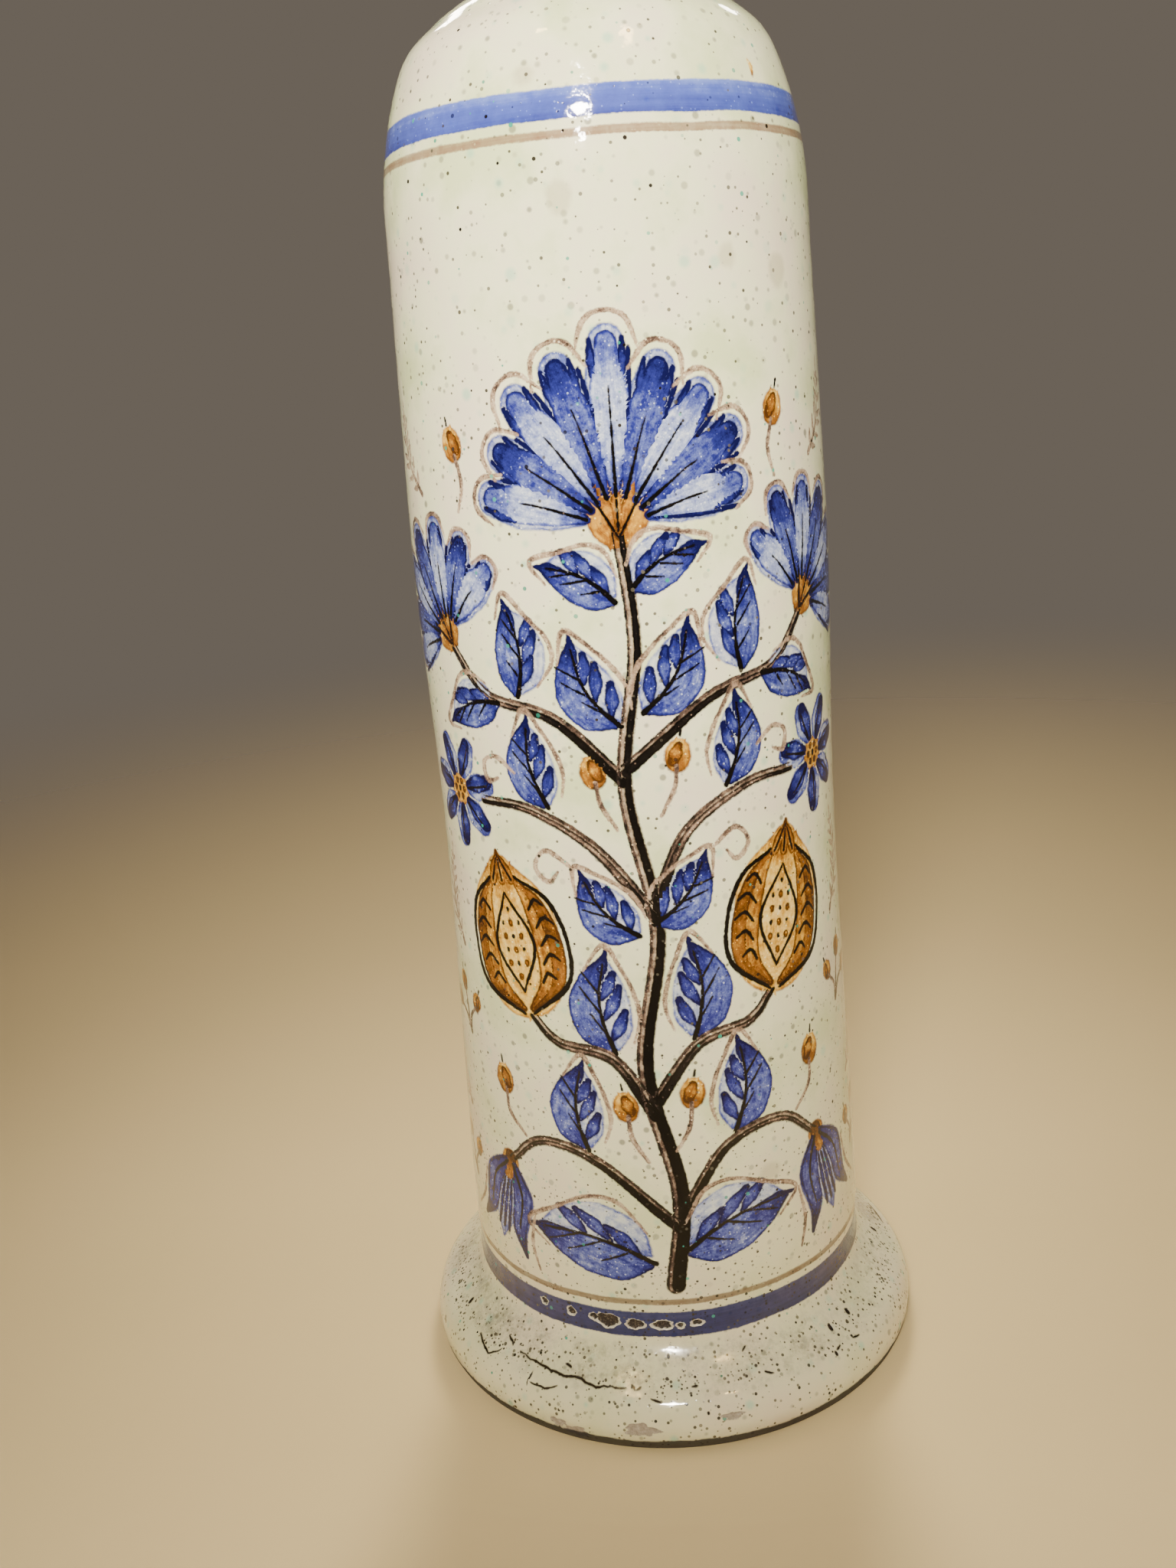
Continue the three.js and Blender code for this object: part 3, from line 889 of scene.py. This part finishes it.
def brushwork(tree, ground, mm, bubbles, layer, edge_blur, opacity, grain, rim):
    """Lays one layer of strokes over the ground.

    Oxide pools at a stroke's rim, clouds and streaks inside it, and burst bubbles show through.
    """
    depth, sideways = stroke_depth(tree, mm, layer, 0.9)
    look = node(tree, "ShaderNodeAttribute", attribute_name=layer + "_look").outputs["Vector"]
    look = node(tree, "ShaderNodeSeparateXYZ", {0: look})
    cover = node(tree, "ShaderNodeMapRange", {"Value": depth, "From Min": -edge_blur, "From Max": edge_blur},
                 interpolation_type="SMOOTHSTEP")
    across = node(tree, "ShaderNodeMath", {0: sideways, 1: 1.1}, operation="MULTIPLY")
    along = node(tree, "ShaderNodeMath", {0: look.outputs["X"], 1: 0.16}, operation="MULTIPLY")
    number = node(tree, "ShaderNodeMath", {0: look.outputs["Z"], 1: 0.37}, operation="MULTIPLY")
    bristles = node(tree, "ShaderNodeCombineXYZ", {"X": across, "Y": along, "Z": number})
    streaks = node(tree, "ShaderNodeTexNoise", {"Vector": bristles, "Scale": 1.0, "Detail": 3,
                                                "Roughness": 0.55})
    clouds = node(tree, "ShaderNodeTexNoise", {"Vector": mm, "Scale": 0.42, "Detail": 4, "Roughness": 0.6})
    crumbs = node(tree, "ShaderNodeTexNoise", {"Vector": mm, "Scale": 1.9, "Detail": 3, "Roughness": 0.7})
    pooled = node(tree, "ShaderNodeMapRange", {"Value": depth, "From Min": 0.0, "From Max": 1.1,
                                               "To Min": rim, "To Max": 0.0}, interpolation_type="SMOOTHSTEP")
    density = node(tree, "ShaderNodeMath", {0: look.outputs["Y"], 1: 0.62 + grain / 2}, operation="SUBTRACT")
    for pattern, share in ((streaks.outputs[0], 0.5), (clouds.outputs[0], 0.8), (crumbs.outputs[0], grain),
                           (pooled, 1.0), (bubbles, -0.4)):
        density = node(tree, "ShaderNodeMath", {0: pattern, 1: share, 2: density}, operation="MULTIPLY_ADD")
    pigment = node(tree, "ShaderNodeValToRGB", {0: density}, stops=COBALT_TONES)
    for kind, tones in ((OCHRE, OCHRE_TONES), (MANGANESE, MANGANESE_TONES)):
        from_here = node(tree, "ShaderNodeMath", {0: look.outputs["Z"], 1: kind * STROKES_A_PIGMENT - 0.5},
                         operation="GREATER_THAN")
        oxide = node(tree, "ShaderNodeValToRGB", {0: density}, stops=tones)
        pigment = node(tree, "ShaderNodeMix", {"Factor": from_here, "A": pigment, "B": oxide},
                       data_type="RGBA")
    strength = node(tree, "ShaderNodeMapRange", {"Value": density, "From Min": 0.0, "From Max": 0.45,
                                                 "To Min": opacity, "To Max": 1.0})
    strength = node(tree, "ShaderNodeMath", {0: strength, 1: cover}, operation="MULTIPLY")
    return node(tree, "ShaderNodeMix", {"Factor": strength, "A": ground, "B": pigment}, data_type="RGBA")


def ring_band(tree, ground, height, low, high, colour, opacity):
    """A painted band round the bottle between two heights, with soft edges."""
    above = node(tree, "ShaderNodeMapRange", {"Value": height, "From Min": low - 0.25,
                                              "From Max": low + 0.25}, interpolation_type="SMOOTHSTEP")
    below = node(tree, "ShaderNodeMapRange", {"Value": height, "From Min": high + 0.3,
                                              "From Max": high - 0.3}, interpolation_type="SMOOTHSTEP")
    cover = node(tree, "ShaderNodeMath", {0: above, 1: below}, operation="MULTIPLY")
    cover = node(tree, "ShaderNodeMath", {0: cover, 1: opacity}, operation="MULTIPLY")
    return node(tree, "ShaderNodeMix", {"Factor": cover, "A": ground, "B": colour}, data_type="RGBA")


def banding(tree, ground, mm, z, bubbles):
    """Bands drawn while the bottle turned under the brush: each ran thicker towards its lower edge."""
    drift = node(tree, "ShaderNodeTexNoise", {"Vector": mm, "Scale": 1 / 24, "Detail": 2})
    feather = node(tree, "ShaderNodeTexNoise", {"Vector": mm, "Scale": 0.8, "Detail": 4, "Roughness": 0.7})
    height = node(tree, "ShaderNodeMath", {0: z, 1: 1.05}, operation="SUBTRACT")
    for noise, reach in ((drift, 1.4), (feather, 0.7)):
        height = node(tree, "ShaderNodeMath", {0: noise.outputs[0], 1: reach, 2: height},
                      operation="MULTIPLY_ADD")
    lathe = node(tree, "ShaderNodeVectorMath", {0: mm, 1: (0.03, 0.03, 0.9)}, operation="MULTIPLY")
    bristle = node(tree, "ShaderNodeTexNoise", {"Vector": lathe, "Scale": 1.0, "Detail": 3,
                                                "Roughness": 0.55})
    cloudy = node(tree, "ShaderNodeTexNoise", {"Vector": mm, "Scale": 1 / 5, "Detail": 4, "Roughness": 0.65})
    uneven = node(tree, "ShaderNodeMath", {0: bubbles, 1: -0.3}, operation="MULTIPLY")
    for noise, share in ((bristle, 0.4), (cloudy, 0.5)):
        uneven = node(tree, "ShaderNodeMath", {0: noise.outputs[0], 1: share, 2: uneven},
                      operation="MULTIPLY_ADD")
    # Blue bands on the shoulder, over the foot, round the mouth and at the neck's root
    coat = ground
    for low, high, tones, top_tone, low_tone in (
            (353.7, 360.8, CLEAR_BAND_TONES, 0.34, 0.7), (27.2, 35.4, DEEP_BAND_TONES, 0.6, 0.4),
            (444.6, 460.0, CLEAR_BAND_TONES, 0.4, 0.5), (396.0, 399.4, CLEAR_BAND_TONES, 0.4, 0.55)):
        slump = node(tree, "ShaderNodeMapRange", {"Value": z, "From Min": low, "From Max": high,
                                                  "To Min": low_tone - 0.45, "To Max": top_tone - 0.45})
        tone = node(tree, "ShaderNodeMath", {0: uneven, 1: slump}, operation="ADD")
        cobalt = node(tree, "ShaderNodeValToRGB", {0: tone}, stops=tones)
        coat = ring_band(tree, coat, height, low, high, cobalt, 0.97)
    # Thin tan lines beside the bands of the shoulder, foot and mouth
    thin = node(tree, "ShaderNodeMapRange", {"Value": uneven, "From Min": 0.3, "From Max": 0.6,
                                             "To Min": 0.7, "To Max": 1.0})
    for low, high, colour in ((349.4, 351.4, "8A6A54"), (37.8, 39.7, "745C47"), (440.4, 442.2, "8A6A54")):
        coat = ring_band(tree, coat, height, low, high, linear(colour), thin)
    reached = node(tree, "ShaderNodeAttribute", attribute_name="reached").outputs["Fac"]
    return node(tree, "ShaderNodeMix", {"Factor": reached, "A": ground, "B": coat}, data_type="RGBA")


def scattered(tree, ground, mm, spacing, radii, colours, opacity=(0.4, 1.0), amount=1.0, soft=0.08):
    """Specks in the depth of the glaze, one to a cell, which its surface cuts at every size. Sizes in mm."""
    cells = node(tree, "ShaderNodeTexVoronoi", {"Vector": mm, "Scale": 1 / spacing}, feature="F1")
    chance = node(tree, "ShaderNodeSeparateColor", {0: cells.outputs["Color"]})
    radius = node(tree, "ShaderNodeMapRange", {"Value": chance.outputs["Red"], "To Min": radii[0],
                                               "To Max": radii[1]})
    radius = node(tree, "ShaderNodeMath", {0: radius, 1: amount}, operation="MULTIPLY")
    depth = node(tree, "ShaderNodeMath", {0: cells.outputs["Distance"], 1: -spacing, 2: radius},
                 operation="MULTIPLY_ADD")
    strength = node(tree, "ShaderNodeMapRange", {"Value": chance.outputs["Blue"], "To Min": opacity[0],
                                                 "To Max": opacity[1]})
    cover = node(tree, "ShaderNodeMapRange", {"Value": depth, "From Min": -soft, "From Max": soft,
                                              "To Max": strength}, interpolation_type="SMOOTHSTEP")
    tint = node(tree, "ShaderNodeValToRGB", {0: chance.outputs["Green"]}, stops=colours)
    return node(tree, "ShaderNodeMix", {"Factor": cover, "A": ground, "B": tint}, data_type="RGBA"), cover


def white_coat(tree, mm, z):
    """Milky patches about 28 mm wide, greener and pinker by turns, with painted shade low down: a darker,
    warmer buff tint towards the foot.

    Thumb marks are thin places in the glaze, where the potter held the bottle before it was fired.
    """
    milk = node(tree, "ShaderNodeTexNoise", {"Vector": mm, "Scale": 1 / 28, "Detail": 5, "Roughness": 0.55})
    coat = node(tree, "ShaderNodeValToRGB", {0: milk.outputs[0]},
                stops=[(0.36, "D6DCAE"), (0.66, "ECDFCB"), (0.5, "ECEAC9")])
    # Painted shade: the glaze is tinted darker and buffer from 210 mm down to the foot, most strongly at the
    # foot
    painted_low_shade = node(tree, "ShaderNodeMapRange", {"Value": z, "From Min": 15.0, "From Max": 210.0,
                                                 "To Min": 0.55, "To Max": 0.0})
    coat = node(tree, "ShaderNodeMix", {"Factor": painted_low_shade, "A": coat, "B": linear("D6C8A4")},
                data_type="RGBA")
    thumb = node(tree, "ShaderNodeAttribute", attribute_name="thumb").outputs["Fac"]
    thumb = node(tree, "ShaderNodeMapRange", {"Value": thumb, "From Min": -0.7, "From Max": 1.3,
                                              "To Max": 0.5}, interpolation_type="SMOOTHSTEP")
    return node(tree, "ShaderNodeMix", {"Factor": thumb, "A": coat, "B": linear("B9AF90")}, data_type="RGBA")


def surface_specks(tree, coat, mm, z):
    """Iron specks everywhere, pinholes crowding on the foot and over its lip, and grains of copper."""
    coat, pits = scattered(tree, coat, mm, 2.7, (0.14, 0.54),
                           [(0.2, "5E584C"), (0.8, "16110E"), (0.5, "2E2722")], (0.5, 1.0))
    on_foot = node(tree, "ShaderNodeMapRange", {"Value": z, "From Min": 190.0, "From Max": 26.0})
    coat, pinholes = scattered(tree, coat, mm, 1.8, (0.15, 0.5), [(0.0, "453E34"), (1.0, "18140F")],
                               (0.6, 1.0), on_foot)
    crowd = node(tree, "ShaderNodeTexNoise", {"Vector": mm, "Scale": 1 / 11, "Detail": 3})
    crowd = node(tree, "ShaderNodeMapRange", {"Value": crowd.outputs[0], "From Min": 0.38, "From Max": 0.52})
    over_lip = node(tree, "ShaderNodeMath", {0: z, 1: 18.0}, operation="SUBTRACT")
    over_lip = node(tree, "ShaderNodeMath", {0: over_lip}, operation="ABSOLUTE")
    over_lip = node(tree, "ShaderNodeMapRange", {"Value": over_lip, "From Min": 4.8, "From Max": 0.6})
    crowd = node(tree, "ShaderNodeMath", {0: crowd, 1: over_lip}, operation="MULTIPLY")
    coat, crowded = scattered(tree, coat, mm, 1.6, (0.22, 0.62), [(0.0, "3A3026"), (1.0, "15100C")],
                              (0.85, 1.0), crowd)
    coat, _ = scattered(tree, coat, mm, 6.0, (0.12, 0.6), [(0.0, "1A8070"), (1.0, "46AA94")])
    return coat, pits, pinholes, crowded


def burst_blisters(tree, mm, torn):
    """How far thick pale rims and brown craters cover the glaze, and the burnt colour inside the craters."""
    blister = node(tree, "ShaderNodeAttribute", attribute_name="blister").outputs["Fac"]
    blister = node(tree, "ShaderNodeMath", {0: torn, 1: 0.8, 2: blister}, operation="MULTIPLY_ADD")
    rim = node(tree, "ShaderNodeMapRange", {"Value": blister, "From Min": -0.02, "From Max": 0.16},
               interpolation_type="SMOOTHSTEP")
    crater = node(tree, "ShaderNodeMapRange", {"Value": blister, "From Min": 0.42, "From Max": 0.56},
                  interpolation_type="SMOOTHSTEP")
    ash = node(tree, "ShaderNodeTexNoise", {"Vector": mm, "Scale": 1.7, "Detail": 4, "Roughness": 0.7})
    burnt = node(tree, "ShaderNodeValToRGB", {0: ash.outputs[0]},
                 stops=[(0.4, "1A130D"), (0.68, "7A6A55"), (0.55, "3A2E23")])
    return rim, crater, burnt


def dirt_and_painted_shade(tree, mm, z):
    """How far soot patches and an even painted shade cover the foot's hollow flare, a stain the glaze above
    the resting edge, and black, part bare clay and part painted contact shadow, that edge.
    """
    patches = node(tree, "ShaderNodeTexNoise", {"Vector": mm, "Scale": 1 / 13, "Detail": 5,
                                                "Roughness": 0.65}).outputs[0]
    grime = node(tree, "ShaderNodeTexNoise", {"Vector": mm, "Scale": 0.55, "Detail": 5, "Roughness": 0.75})
    in_flare = node(tree, "ShaderNodeMath", {0: z, 1: 20.5}, operation="SUBTRACT")
    in_flare = node(tree, "ShaderNodeMath", {0: in_flare}, operation="ABSOLUTE")
    in_flare = node(tree, "ShaderNodeMapRange", {"Value": in_flare, "From Min": 7.0, "From Max": 1.5},
                    interpolation_type="SMOOTHSTEP")
    # Soot in patches, over an even painted shade that darkens the hollow of the flare
    soot_and_flare_shade = node(tree, "ShaderNodeMapRange", {"Value": patches, "From Min": 0.48, "From Max": 0.62,
                                             "To Min": 0.3})
    mottled = node(tree, "ShaderNodeMapRange", {"Value": grime.outputs[0], "From Min": 0.42, "From Max": 0.64,
                                                "To Min": 0.2, "To Max": 0.72})
    for share in (in_flare, mottled):
        soot_and_flare_shade = node(tree, "ShaderNodeMath", {0: soot_and_flare_shade, 1: share}, operation="MULTIPLY")
    stain = node(tree, "ShaderNodeMapRange", {"Value": z, "From Min": 8.0, "From Max": 2.5, "To Max": 0.5})
    stained = node(tree, "ShaderNodeMapRange", {"Value": patches, "From Min": 0.42, "From Max": 0.62,
                                                "To Min": 0.12})
    stain = node(tree, "ShaderNodeMath", {0: stain, 1: stained}, operation="MULTIPLY")
    # Near-black along the resting edge: dark bare clay, with painted contact shadow where the foot meets the
    # floor
    edge_height = node(tree, "ShaderNodeMath", {0: patches, 1: 3.0, 2: z}, operation="MULTIPLY_ADD")
    black_edge_and_contact_shadow = node(tree, "ShaderNodeMapRange", {"Value": edge_height, "From Min": 6.3, "From Max": 5.7,
                                                   "To Max": 0.95})
    return soot_and_flare_shade, stain, black_edge_and_contact_shadow


def bare_clay(tree, mm, z, torn):
    """Where buff clay shows, in chips and on the underside, with its colour and its grain."""
    grain = node(tree, "ShaderNodeTexNoise", {"Vector": mm, "Scale": 0.9, "Detail": 6,
                                              "Roughness": 0.7}).outputs[0]
    clay = node(tree, "ShaderNodeValToRGB", {0: grain},
                stops=[(0.3, "887A6C"), (0.75, "C6BBAC"), (0.55, "A89A8A")])
    chip = node(tree, "ShaderNodeAttribute", attribute_name="chip").outputs["Fac"]
    chip = node(tree, "ShaderNodeMath", {0: torn, 1: 0.9, 2: chip}, operation="MULTIPLY_ADD")
    chipped = node(tree, "ShaderNodeMapRange", {"Value": chip, "From Min": 0.4, "From Max": 0.55})
    off_axis = node(tree, "ShaderNodeVectorMath", {0: mm, 1: (1, 1, 0)}, operation="MULTIPLY")
    off_axis = node(tree, "ShaderNodeVectorMath", {0: off_axis}, operation="LENGTH").outputs["Value"]
    in_ring = node(tree, "ShaderNodeMath", {0: off_axis, 1: REST_INNER_RADIUS + 1.0}, operation="LESS_THAN")
    below_floor = node(tree, "ShaderNodeMath", {0: z, 1: SEAT_Z + 0.5}, operation="LESS_THAN")
    underside = node(tree, "ShaderNodeMath", {0: in_ring, 1: below_floor}, operation="MULTIPLY")
    bare = node(tree, "ShaderNodeMath", {0: underside, 1: chipped}, operation="MAXIMUM")
    return bare, clay, grain


def tin_glaze():
    """Opaque white tin glaze, fired glossy over buff earthenware, with metal oxides painted on it raw.

    Tin oxide gives a warm, milky white that is never quite even. Oxides soak into it, so edges bleed.
    """
    material = bpy.data.materials.new("tin_glazed_earthenware")
    material.use_nodes = True
    tree = material.node_tree
    tree.nodes.clear()
    object_space = node(tree, "ShaderNodeTexCoord").outputs["Object"]
    mm = node(tree, "ShaderNodeVectorMath", {0: object_space, "Scale": 1 / MM}, operation="SCALE")
    z = node(tree, "ShaderNodeSeparateXYZ", {0: mm}).outputs["Z"]

    coat = white_coat(tree, mm, z)
    # Deep in the glaze, under the painting: grey iron specks, and green halos round grains of copper
    coat, _ = scattered(tree, coat, mm, 3.6, (0.1, 0.95), [(0.0, "86836F"), (1.0, "504E46")], (0.15, 0.75),
                        soft=0.3)
    coat, _ = scattered(tree, coat, mm, 7.0, (0.3, 1.5), [(0.0, "7CC4B0"), (1.0, "A2D0B8")], (0.15, 0.6),
                        soft=0.8)
    bubbles = pinprick_bubbles(tree, mm)
    coat = banding(tree, coat, mm, z, bubbles)
    coat = brushwork(tree, coat, mm, bubbles, "wash", 0.4, 0.6, 0.2, 0.25)
    coat = brushwork(tree, coat, mm, bubbles, "brush", 0.26, 0.9, 0.42, 0.42)
    coat = brushwork(tree, coat, mm, bubbles, "line", 0.22, 0.75, 0.55, 0.0)
    coat, pits, pinholes, crowded = surface_specks(tree, coat, mm, z)

    # What covers the painted coat, from the lowest layer up
    torn = node(tree, "ShaderNodeTexNoise", {"Vector": mm, "Scale": 1.3, "Detail": 4,
                                             "Roughness": 0.6}).outputs[0]
    rim, crater, burnt = burst_blisters(tree, mm, torn)
    soot_and_flare_shade, stain, black_edge_and_contact_shadow = dirt_and_painted_shade(tree, mm, z)
    bare, clay, grain = bare_clay(tree, mm, z, torn)
    crack_depth, _ = stroke_depth(tree, mm, "crack", 0.3)
    cracked = node(tree, "ShaderNodeMapRange", {"Value": crack_depth, "From Min": -0.12, "From Max": 0.12})
    # Laid on here: soot with the flare's painted shade (584C3C), and the black edge with its painted contact
    # shadow (1E150E)
    for cover, colour in ((rim, linear("CFC6B6")), (crater, burnt), (soot_and_flare_shade, linear("584C3C")),
                          (stain, linear("8F7556")), (bare, clay), (black_edge_and_contact_shadow, linear("1E150E")),
                          (cracked, linear("2A2018"))):
        coat = node(tree, "ShaderNodeMix", {"Factor": cover, "A": coat, "B": colour}, data_type="RGBA")

    # Surface: rippled by the brush that laid the glaze on, with pits at the specks and open cracks
    ripple = node(tree, "ShaderNodeTexNoise", {"Vector": mm, "Scale": 1 / 10, "Detail": 2, "Roughness": 0.4})
    peel = node(tree, "ShaderNodeTexNoise", {"Vector": mm, "Scale": 1 / 2.6, "Detail": 2})
    clay_relief = node(tree, "ShaderNodeMath", {0: grain, 1: bare}, operation="MULTIPLY")
    relief = 0.0
    for feature, height in ((ripple.outputs[0], 0.22), (peel.outputs[0], 0.045), (pits, -0.05),
                            (pinholes, -0.07), (crowded, -0.07), (cracked, -0.2), (crater, -0.15),
                            (clay_relief, 0.4)):
        relief = node(tree, "ShaderNodeMath", {0: feature, 1: height, 2: relief}, operation="MULTIPLY_ADD")
    bump = node(tree, "ShaderNodeBump", {"Strength": 1.0, "Distance": MM, "Height": relief})
    dull = bare
    for cover in (crater, black_edge_and_contact_shadow):
        dull = node(tree, "ShaderNodeMath", {0: dull, 1: cover}, operation="MAXIMUM")
    gloss = node(tree, "ShaderNodeMapRange", {"Value": peel.outputs[0], "From Min": 0.3, "From Max": 0.7,
                                              "To Min": 0.045, "To Max": 0.085})
    gloss = node(tree, "ShaderNodeMath", {0: soot_and_flare_shade, 1: 0.4, 2: gloss}, operation="MULTIPLY_ADD")
    roughness = node(tree, "ShaderNodeMix", {"Factor": dull, "A": gloss, "B": 0.85}, data_type="FLOAT")
    shader = node(tree, "ShaderNodeBsdfPrincipled", {"Base Color": coat, "Roughness": roughness, "IOR": 1.5,
                                                     "Normal": bump})
    node(tree, "ShaderNodeOutputMaterial", {"Surface": shader.outputs["BSDF"]})
    return material


glaze = tin_glaze()

# The outlines run up the outside and down the inside
foot_outline = [
    *evenly(foot_side, ROW_HEIGHT),
    (REBATE_RADIUS, FOOT_JOINT_Z),
    (REBATE_RADIUS, SEAT_Z),
    *bezier((SEAT_INNER_RADIUS, SEAT_Z), (SEAT_INNER_RADIUS + 1.5, SEAT_Z - 7), (REST_INNER_RADIUS - 5, 5),
            (REST_INNER_RADIUS, 0), 8),
]
plate_radius = REBATE_RADIUS - SLIP_GAP
cove_z = FLOOR_TOP_Z + FLOOR_FILLET
body_inside = wall(body_stations, BODY_WALL, cove_z + 4, BODY_JOINT_Z)
corner = np.linspace(0, -math.pi / 2, 7)
cove = np.stack([body_inside[-1, 0] - FLOOR_FILLET + FLOOR_FILLET * np.cos(corner),
                 cove_z + FLOOR_FILLET * np.sin(corner)], 1)
body_outline = [
    (0, SEAT_Z + SLIP_GAP),
    (plate_radius, SEAT_Z + SLIP_GAP),
    (plate_radius, FOOT_JOINT_Z),
    *evenly(body_side, ROW_HEIGHT),
    *tongue(BODY_JOINT, BODY_WALL),
    *body_inside,
    *cove,
    (0, FLOOR_TOP_Z),
]
socket_top = BODY_JOINT_Z + TONGUE_HEIGHT + SLIP_GAP
shoulder_outline = [
    *socket(BODY_JOINT, BODY_WALL),
    *evenly(shoulder_side, ROW_HEIGHT),
    *tongue(NECK_JOINT, NECK_WALL),
    *wall(shoulder_stations, SHOULDER_WALL, socket_top + 2, NECK_JOINT_Z - 3),
]
throat = smooth_line([(lip_centre - MOUTH_LIP, lip_z - 1),
                      (NECK_WAIST[0] - NECK_WALL + 1.6, NECK_WAIST[1] + 16),
                      (NECK_WAIST[0] - NECK_WALL, NECK_WAIST[1]),
                      (NECK_JOINT[0] - NECK_WALL, NECK_JOINT_Z + TONGUE_HEIGHT + SLIP_GAP)], 24)
neck_outline = [
    *socket(NECK_JOINT, NECK_WALL)[1:],
    *evenly(neck_side, ROW_HEIGHT),
    *mouth_roll[::4],
    *throat,
]
section("glazed_foot", "foot", foot_outline, glaze)
section("painted_body", "body", body_outline, glaze)
section("glazed_shoulder", "shoulder", shoulder_outline, glaze)
section("glazed_neck", "neck", neck_outline, glaze)


def pale_card():
    """Matt pale card, which scatters light evenly. It fades into the backdrop within 1.3 m of the bottle."""
    material = bpy.data.materials.new("matt_pale_card")
    material.use_nodes = True
    tree = material.node_tree
    tree.nodes.clear()
    object_space = node(tree, "ShaderNodeTexCoord").outputs["Object"]
    away = node(tree, "ShaderNodeVectorMath", {0: object_space}, operation="LENGTH").outputs["Value"]
    fade = node(tree, "ShaderNodeMapRange", {"Value": away, "From Min": 1.3, "From Max": 0.22},
                interpolation_type="SMOOTHSTEP")
    shader = node(tree, "ShaderNodeBsdfPrincipled", {"Base Color": linear("E2C796"), "Roughness": 0.9,
                                                     "Alpha": fade})
    node(tree, "ShaderNodeOutputMaterial", {"Surface": shader.outputs["BSDF"]})
    return material


# Studio: a plain floor under an even backdrop
FLOOR_RADIUS = 3.2
floor = bpy.data.objects.new("floor", bpy.data.meshes.new("floor"))
disk = bmesh.new()
bmesh.ops.create_circle(disk, cap_ends=True, segments=64, radius=FLOOR_RADIUS)
disk.to_mesh(floor.data)
disk.free()
bpy.context.scene.collection.objects.link(floor)
floor.data.materials.append(pale_card())

world = bpy.data.worlds.new("studio")
world.use_nodes = True
world.node_tree.nodes["Background"].inputs["Color"].default_value = linear("6C645A")
world.node_tree.nodes["Background"].inputs["Strength"].default_value = 1.0
bpy.context.scene.world = world


def lamp(name, position, width, height, watts, colour, aim_z=0.22, beam=180, softbox=False):
    """An oval lamp aimed at a height on the bottle's axis, with a beam so many degrees wide.

    A softbox lights the bottle but doesn't show in its glaze. The other lamps are there for highlights only.
    """
    light = bpy.data.lights.new(name, "AREA")
    light.shape = "ELLIPSE"
    light.size = width
    light.size_y = height
    light.energy = watts
    light.spread = math.radians(beam)
    light.color = linear(colour)[:3]
    holder = bpy.data.objects.new(name, light)
    holder.location = position
    aim = Vector((0, 0, aim_z)) - Vector(position)
    holder.rotation_euler = aim.to_track_quat("-Z", "Y").to_euler()
    holder.visible_glossy = not softbox
    holder.visible_diffuse = softbox
    bpy.context.scene.collection.objects.link(holder)


lamp("highlight_lamp", (-0.082, -1.07, 1.012), 0.22, 0.12, 25, "FFF8EE")
lamp("spark_above", (-0.095, -1.07, 1.27), 0.05, 0.05, 2, "FFF8EE")
lamp("spark_below", (-0.095, -1.07, 0.8), 0.05, 0.05, 2, "FFF8EE")
lamp("warm_lamp_right", (0.54, -0.89, 1.62), 0.16, 0.12, 3, "FFD080")
lamp("warm_lamp_left", (-0.496, -0.733, 1.735), 0.16, 0.08, 2, "FFD080")
lamp("left_back_lamp", (-0.45, 1.3, 1.25), 0.22, 0.22, 4, "FFF6E8")
lamp("right_back_lamp", (0.75, 1.1, 1.35), 0.22, 0.22, 4, "FFF6E8")
lamp("front_softbox", (-0.08, -0.8, 0.66), 0.3, 0.3, 2.2, "FFF9DE", aim_z=0.32, beam=50, softbox=True)
lamp("back_softbox", (0.08, 0.8, 0.66), 0.3, 0.3, 1.8, "FFF9DE", aim_z=0.31, beam=50, softbox=True)
lamp("right_softbox", (0.9, 0.1, 0.7), 0.5, 0.5, 0.28, "FFF9DE", aim_z=0.3, beam=50, softbox=True)
lamp("left_softbox", (-0.9, 0.1, 0.7), 0.5, 0.5, 0.28, "FFF9DE", aim_z=0.3, beam=50, softbox=True)
lamp("overhead_softbox", (0.0, 0.0, 1.9), 1.4, 1.4, 1.7, "FFF6EA", softbox=True)

# Camera, at the photograph's angle
CAMERA_PLACE = Vector((0.0, -0.4270, 0.2986))
PITCH, YAW, ROLL = (math.radians(a) for a in (15.875, -1.958, -4.630))
FOCAL_PIXELS = 1927.3
IMAGE_HEIGHT = 2048
camera_data = bpy.data.cameras.new("camera")
camera_data.sensor_width = 36
camera_data.lens = FOCAL_PIXELS / IMAGE_HEIGHT * camera_data.sensor_width
camera_data.clip_start = 0.01
camera = bpy.data.objects.new("camera", camera_data)
forward = Vector((math.sin(YAW) * math.cos(PITCH), math.cos(YAW) * math.cos(PITCH), -math.sin(PITCH)))
level = Vector((math.cos(YAW), -math.sin(YAW), 0))
upright = level.cross(forward)
right = math.cos(ROLL) * level + math.sin(ROLL) * upright
up = math.cos(ROLL) * upright - math.sin(ROLL) * level
camera.matrix_world = Matrix((right, up, -forward)).transposed().to_4x4()
camera.location = CAMERA_PLACE
bpy.context.scene.collection.objects.link(camera)
bpy.context.scene.camera = camera
